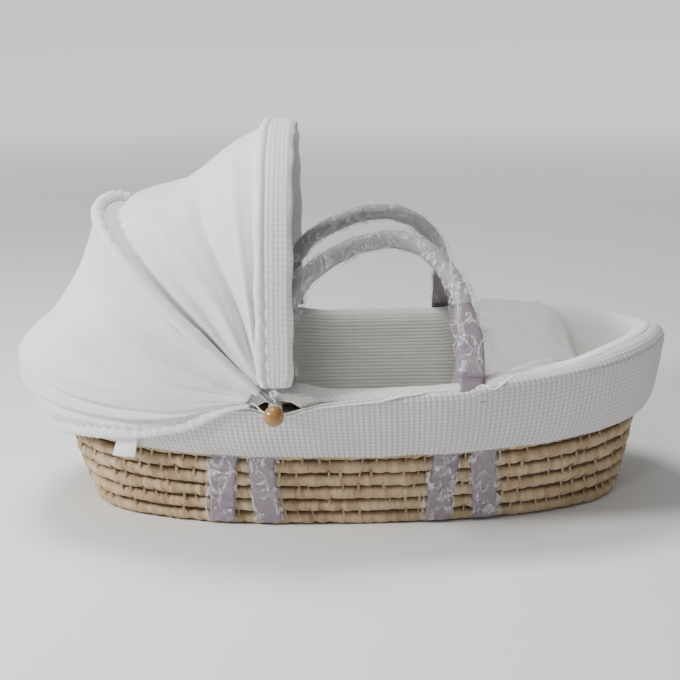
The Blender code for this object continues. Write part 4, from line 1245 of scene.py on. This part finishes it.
def make_cuff():
    """The hood's front band: waffle cloth in front, a smooth casing for the wire behind."""
    length = even_turns(CUFF_START, 3, FRONT_BOW)[1]
    step = CELL_LONG / 2
    count = int(length / step) // 2 * 2 + 1
    turn, _ = even_turns(CUFF_START, count, FRONT_BOW)
    columns = 13
    front = [(along, 0.0084 - 0.0042 * max(0.0, (along - 0.0145) / 0.008) ** 2)
             for along in np.linspace(0.0226, -0.0088, columns)]
    rear = [(-0.0096, 0.0058), (-0.0112, 0.0082), (-0.0140, 0.0098), (-0.0170, 0.0098),
            (-0.0198, 0.0084), (-0.0215, 0.0062), (-0.0224, 0.0040)]
    inner = [(-0.0218, 0.0024), (-0.0150, 0.0030), (-0.0060, 0.0032), (0.0060, 0.0032),
             (0.0150, 0.0030), (0.0212, 0.0026), (0.0230, 0.0038)]
    section = np.array(front + rear + inner)
    along, outward = section[:, 0][None], section[:, 1][None]
    distance = np.linspace(0, length, count)
    end = np.minimum(distance, length - distance)
    gather = (np.sin(distance * 2 * math.pi / 0.0190 + 1.3 * np.sin(distance * 31))
              * np.exp(-((end / 0.13) ** 4)))
    is_rear = ((along < -0.009) & (outward > 0.0035)).astype(float)
    taper = mix(0.84, 1.0, smooth(end / 0.020))[:, None]
    edge_wave = (0.0010 * np.sin(distance * 2 * math.pi / 0.07 + 0.7)[:, None]
                 * (np.abs(along) > 0.018))
    ripple = gather[:, None] * is_rear * 0.0019
    points = bow_line(turn[:, None], FRONT_BOW, outward + ripple,
                      along * taper + edge_wave + gather[:, None] * is_rear * 0.0009)
    centre = points.mean(1, keepdims=True)
    waffle = np.zeros((count, len(section)))
    waffle[:, :columns] = cells(count, columns) * 0.0010
    relief = waffle + 0.0007 * wobble(points, 0.05, 4.0)
    points = points + unit(points - centre) * relief[..., None]
    cuff = grid("hood_cuff_band", points, MATERIALS["cuff"],
                (count * step, len(section) * CELL_WIDE / 2), wrap_columns=True, body="front_bow")
    swap_uv(cuff, 0.0)
    cuff.data.materials.append(MATERIALS["binding"])
    column = np.arange((count - 1) * len(section)) % len(section)
    cuff.data.polygons.foreach_set("material_index", (column >= columns - 1).astype(np.int32))
    close_ends(cuff, len(section))
    subdivide(cuff)
    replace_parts(cuff, "hood_cuff")


def make_front_panel():
    """Cloth from the rear bow to under the front cuff, with folds that fan out from the pivots."""
    turn, length = even_turns(0.032, 170, FRONT_BOW)
    t = np.linspace(0, 1, 52)[None]
    s = turn[:, None]
    near = np.minimum(s, 1 - s)
    ahead = bow_line(turn, FRONT_BOW, 0.0030, -0.0140)[:, None]
    behind = bow_line(turn, REAR_BOW, -0.0020, 0.0010)[:, None]
    points = mix(behind, ahead, t[..., None])
    inward = unit(np.array(PIVOT)[None, None] - (ahead + behind) / 2)
    middle = smooth(np.sin(math.pi * s) * 1.15)
    dip = np.where(t < 0.45, (t / 0.45) ** 1.1, np.clip((0.84 - t) / 0.39, 0, 1) ** 1.15)
    dip = (np.roll(dip, 1, 1) + np.roll(dip, -1, 1) + 2 * dip) / 4
    dip[:, :2], dip[:, -2:] = 0.0, 0.0
    crest = bump_at(s, 0.5, 0.20)
    slack = 0.0185 * dip * crest + 0.0105 * np.sin(math.pi * t) * middle * (1 - crest)
    folds = np.zeros_like(slack)
    for centre, shift, width, depth, low, high in ((0.66, 0.10, 0.060, 0.0085, 0.04, 0.30),
                                                   (0.83, 0.02, 0.045, -0.0055, 0.02, 0.34),
                                                   (0.93, 0.00, 0.022, 0.0050, 0.02, 0.30),
                                                   (0.46, 0.16, 0.065, -0.0040, 0.06, 0.22),
                                                   (0.28, 0.20, 0.075, 0.0045, 0.10, 0.40)):
        line = centre - shift * smooth((near - low) / 0.25)
        reach = smooth((near - low * 0.3) / 0.06) * (1 - smooth((near - high) / 0.14))
        folds += 1.5 * depth * bump_at(t, line, width) * reach
    spot = np.stack([t + 0 * s, near * 0.35 + 0 * t, 0 * t + (s > 0.5)], -1)
    soft = (wobble(points, 0.070, 1.0) * 0.0030 + wobble(points, 0.032, 5.0) * 0.0009
            + 0.0016 * wobble(spot, 0.045, 3.0) * smooth((0.42 - near) / 0.2))
    hold = np.sin(math.pi * t) ** 0.5
    points = points + inward * (slack + (folds + soft) * hold)[..., None]
    tuck = 0.0125 * bump_at(t, 0.070, 0.060) * smooth(near / 0.10)
    points = points + inward * tuck[..., None]
    panel = grid("hood_front_cloth", points, MATERIALS["hood"], (length, 0.22), body=None)
    relax(panel)
    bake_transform(panel)
    thicken(panel, HOOD_CLOTH)
    subdivide(panel)
    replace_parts(panel, "hood_front_panel")


def hem_angles(turn):
    end_share = abs(HEM_END_X) / RIM_HALF_LENGTH
    half_arc = math.pi - math.acos(-end_share ** (PLAN_POWER / 2))
    return math.pi + mix(half_arc, -half_arc, turn)


def hem_line(turn, outset=0.0):
    angle = hem_angles(np.asarray(turn, float))
    probe = wall(angle, 0.8)
    height = (HEM_BACK_Z + np.maximum(0.0, probe[..., 0] + 0.40) * HEM_SLOPE
              + HEM_END_RISE * smooth((probe[..., 0] + 0.20) / 0.07)
              + HEM_BACK_RISE * smooth((-0.25 - probe[..., 0]) / 0.13))
    over = np.clip((height - 0.092) / 0.025, 0, 1)
    rim = wall(angle, 1.0)[..., 2]
    return wall(angle, height / rim, -(mix(0.0105, 0.0198, over) + outset))


def make_rear_casing():
    """The sleeve over the rear bow, gathered along its length, with lobes on its front side."""
    turn, length = even_turns(0.026, 420, REAR_BOW)
    distance = np.linspace(0, length, len(turn))
    end = np.minimum(distance, length - distance)
    middle = smooth((end - 0.20) / 0.13)
    fine = (np.sin(distance * 2 * math.pi / 0.0130 + 1.7 * np.sin(distance * 19))
            * mix(0.25, 1.0, middle))
    lobes = np.sin(distance * 2 * math.pi / 0.0270 + 1.5 * np.sin(distance * 13) + 0.8) ** 3
    angle = circle(24)[None]
    front = np.clip(np.cos(angle), 0, 1) ** 2
    radius = (mix(0.0052, 0.0076, smooth(end / 0.10))[:, None]
              + 0.00035 * fine[:, None] * (1 + 0.5 * np.sin(angle * 2))
              + lobes[:, None] * front * mix(0.0, 0.0026, middle)[:, None]
              + 0.0006 * front * middle[:, None])
    outward = 0.0008 + radius * np.sin(angle)
    points = bow_line(turn[:, None], REAR_BOW, outward, radius * np.cos(angle))
    lumps = wobble(points, 0.022, 6.0) * 0.0007
    points = points + unit(points - points.mean(1, keepdims=True)) * lumps[..., None]
    casing = grid("rear_bow_sleeve", points, MATERIALS["hood"], (length, 0.05), wrap_columns=True,
                  body="rear_bow")
    close_ends(casing, 24)
    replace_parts(casing, "rear_bow_casing")


def make_rear_panel():
    """Cloth from the rear bow over the head end of the basket and down into the gathered hem."""
    count = 230
    share = np.linspace(0, 1, count)
    start = even_turns(0.030, 3, REAR_BOW)[0][0]
    turn = mix(start, 1 - start, share)
    middle = np.sin(math.pi * share)
    top = bow_line(turn, REAR_BOW, -0.0016, -0.0020)
    hem = hem_line(mix(0.004, 0.996, share), 0.0005) + np.array([0, 0, 0.0030])
    over = wall(hem_angles(share), 0.96, -mix(0.0215, 0.0325, middle))
    outwards = unit(np.stack([over[:, 0] + 0.10, over[:, 1], np.zeros(count)], -1))
    control = mix(hem, over, 0.5) + outwards * mix(0.001, 0.022, middle)[:, None]
    t_top = np.linspace(0, 1, 36, endpoint=False)[:, None, None]
    t_low = np.linspace(0, 1, 26)[:, None, None]
    drop = np.array([0, 0, 1.0])
    slack = (0.017 * middle)[None, :, None] * np.sin(math.pi * t_top)
    upper = mix(top[None], over[None], t_top) - outwards[None] * slack * 0.7 - drop * slack * 0.7
    lower = mix(mix(over[None], control[None], t_low), mix(control[None], hem[None], t_low), t_low)
    points = np.concatenate([upper, lower])
    rows = len(points)
    v = np.linspace(0, 1, rows)[:, None]
    s = share[None]
    nearer = np.minimum(s, 1 - s)
    side_tweak = np.where(s < 0.5, 0.0, 0.017)
    distance = s * 0.95
    wave = np.sin(distance * 2 * math.pi / 0.0165 + 2.0 * np.sin(distance * 21))
    pleats = 0.0020 * wave * smooth((v - 0.86) / 0.14)
    folds = np.zeros((rows, count))
    for level, tilt, width, depth, low, high in ((0.925, -0.30, 0.016, -0.0060, 0.03, 0.34),
                                                 (0.870, -0.55, 0.018, 0.0042, 0.05, 0.36),
                                                 (0.800, -0.75, 0.020, -0.0042, 0.10, 0.40),
                                                 (0.735, -0.80, 0.022, 0.0036, 0.14, 0.42),
                                                 (0.520, -0.40, 0.060, -0.0050, 0.00, 0.20),
                                                 (0.330, -0.10, 0.070, 0.0050, 0.00, 0.22),
                                                 (0.160, 0.10, 0.060, -0.0040, 0.04, 0.30)):
        line = level + side_tweak + tilt * np.maximum(0, nearer - low) ** 1.2
        reach = smooth((nearer - low) / 0.06 + 0.15) * (1 - smooth((nearer - high) / 0.12))
        folds += 1.5 * depth * bump_at(v, line, width) * reach
    spot = np.stack([v + 0 * s, nearer * 0.30 + 0 * v, 0 * v + (s > 0.5)], -1)
    fans = 0.0020 * wobble(spot, 0.050, 7.0)
    soft = wobble(points, 0.070, 14.0) * 0.0030 + wobble(points, 0.026, 31.0) * 0.0007
    normals = surface_normals(points, wrap=False)
    away = np.sign(np.sum(normals * (points - np.array([-0.2, 0.0, 0.18])), -1))
    change = (pleats + folds + fans * smooth((0.36 - nearer) / 0.2) + soft) * smooth(v / 0.06)
    change -= 0.0030 * bump_at(v, 0.03, 0.025)
    points = points + normals * (away * change)[..., None]
    panel = grid("hood_rear_cloth", points, MATERIALS["hood"], (0.34, 0.95), body=None)
    relax(panel)
    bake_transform(panel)
    thicken(panel, HOOD_CLOTH)
    subdivide(panel)
    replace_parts(panel, "hood_rear_panel")


def make_hem():
    """The drawn-up channel along the hood's lower edge, with a small pleat at every gather."""
    turn = np.linspace(0, 1, 700)
    line = hem_line(turn)
    length = length_of(line)
    distance = np.linspace(0, length, len(turn))
    end = smooth(np.minimum(distance, length - distance) / 0.06)
    phase = distance / 0.0125 + 0.35 * np.sin(distance * 21) + 0.2 * np.sin(distance * 47)
    saw = phase - np.floor(phase)
    pleat = saw ** 1.5 * smooth((1 - saw) / 0.14)
    tangent = unit(np.gradient(line, axis=0))
    outward = unit(np.cross(tangent, (0.0, 0.0, 1.0)))
    if outward[len(line) // 2, 0] > 0:
        outward = -outward
    up = np.cross(outward, tangent)
    up *= np.sign(up[:, 2:])
    angle = circle(18)[None]
    tall = (mix(0.0036, 0.0068, end) + 0.0016 * pleat * end)[:, None]
    deep = (mix(0.0022, 0.0026, end) + 0.0044 * pleat * end)[:, None]
    points = (line[:, None] + (tall * np.sin(angle))[..., None] * up[:, None]
              + (deep * np.cos(angle))[..., None] * outward[:, None])
    hem = grid("hood_hem_channel", points, MATERIALS["hood"], (length, 0.032), wrap_columns=True,
               body=None)
    close_ends(hem, 18)
    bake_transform(hem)
    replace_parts(hem, "hood_hem")


# ---- ties, knobs and hardware ---------------------------------------------------------------
def near_pivot(x, y, z, side):
    """A point given by its X and Z from the pivot and its distance out from the middle."""
    return PIVOT.x + x, side * y, PIVOT.z + z


def turns_round_bolt(radius, level, degrees, side):
    return [near_pivot(radius * math.cos(a), level, radius * math.sin(a), side)
            for a in np.radians(degrees)]


def make_ties():
    """The drawstring ends of the cuff and of the hem, each with its turn round the bolt."""
    for side_name, side in SIDES:
        path = spline([near_pivot(0.001, 0.2440, 0.029, side),
                       near_pivot(0.0018, 0.2475, 0.021, side),
                       near_pivot(0.001, 0.2500, 0.0150, side)]
                      + turns_round_bolt(0.0060, 0.2466, np.arange(75, -270, -15), side), 90)
        tie = tube("cuff_tie_cord_" + side_name, path, TIE_RADIUS, MATERIALS["cord"], 8,
                   body="front_bow")
        lump = [near_pivot(0.0035 * math.cos(a) * (1 + 0.3 * math.sin(3 * a)),
                           0.2490 + 0.0016 * math.sin(2 * a),
                           0.0190 + 0.0042 * math.sin(a), side) for a in circle(40)]
        knot = tube("cuff_tie_knot_" + side_name, lump, 0.0017, MATERIALS["cord"], 8, closed=True,
                    hint=(0, 1, 0), body="front_bow")
        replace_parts(tie, "cuff_tie_" + side_name)
        first, second = (0.0, 0.03) if side < 0 else (1.0, 0.97)
        hem_end = hem_line(first)
        ahead = unit(hem_end - hem_line(second))
        path = spline([hem_end - ahead * 0.004, hem_end + ahead * 0.006,
                       near_pivot(-0.0150, 0.2440, -0.0030, side)]
                      + turns_round_bolt(0.0062, 0.2492, np.arange(-95, 200, 15), side), 90)
        hem_tie = tube("hem_tie_cord_" + side_name, path, TIE_RADIUS, MATERIALS["cord"], 8)
        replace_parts(hem_tie, "hem_tie_" + side_name)


def make_knobs():
    outline = spline([(0.0001, 1.0), (0.34, 0.985), (0.64, 0.935), (0.87, 0.85), (0.985, 0.74),
                      (1.0, 0.64), (0.95, 0.51), (0.82, 0.36), (0.65, 0.21), (0.50, 0.09),
                      (0.44, 0.0), (0.30, 0.0)], 44)
    angle = circle(48)[None]
    for side_name, side in SIDES:
        radius, along = outline[:, :1] * KNOB_RADIUS, outline[:, 1:] * KNOB_LENGTH
        points = np.stack([PIVOT.x + radius * np.cos(angle),
                           side * (KNOB_START + along + 0 * angle),
                           PIVOT.z + radius * np.sin(angle)], -1)
        knob = grid("turned_knob_" + side_name, points, MATERIALS["wood"], (0.05, 0.075),
                    wrap_columns=True, body=side_name + "_knob")
        close_ends(knob, 48)
        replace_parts(knob, "knob_" + side_name)


def make_label():
    """A blank folded tab under the hem, curling away from the basket."""
    centre_x = -0.278
    level = HEM_BACK_Z + (centre_x + 0.40) * HEM_SLOPE - 0.004
    across, down = np.meshgrid(np.linspace(-0.5, 0.5, 16) * LABEL_SIZE, np.linspace(0, 1, 18))
    height = level - down * 0.0285
    base = wall_at(centre_x + across - 0.006 * down, height / SIDE_RIM, -1, 0.0150)
    curl = 0.0020 * np.sin(down * 2.4 + across * 70) + 0.0035 * down ** 2
    outward = unit(base * (0.25, 1.0, 0.0))
    points = base + outward * curl[..., None]
    points[..., 2] = height
    label = grid("care_label_blank", points, MATERIALS["label"], (LABEL_SIZE, LABEL_SIZE))
    thicken(label, 0.0006)
    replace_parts(label, "care_label")


def finish_cad_nodes():
    """The CAD's own wires and fasteners stay, in zinc."""
    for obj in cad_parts.values():
        if obj.hide_render or obj.type != "MESH":
            continue
        for entry in obj.material_slots:
            entry.material = MATERIALS["zinc"]


make_camera()
make_ties()
make_studio()
make_wicker()
make_cross_straps()
make_skirt()
make_rollovers()
make_liner()
make_mattress()
make_coverlet()
make_handles()
make_handle_anchors()
make_cuff()
make_front_panel()
make_rear_casing()
make_rear_panel()
make_hem()
make_knobs()
make_label()
finish_cad_nodes()
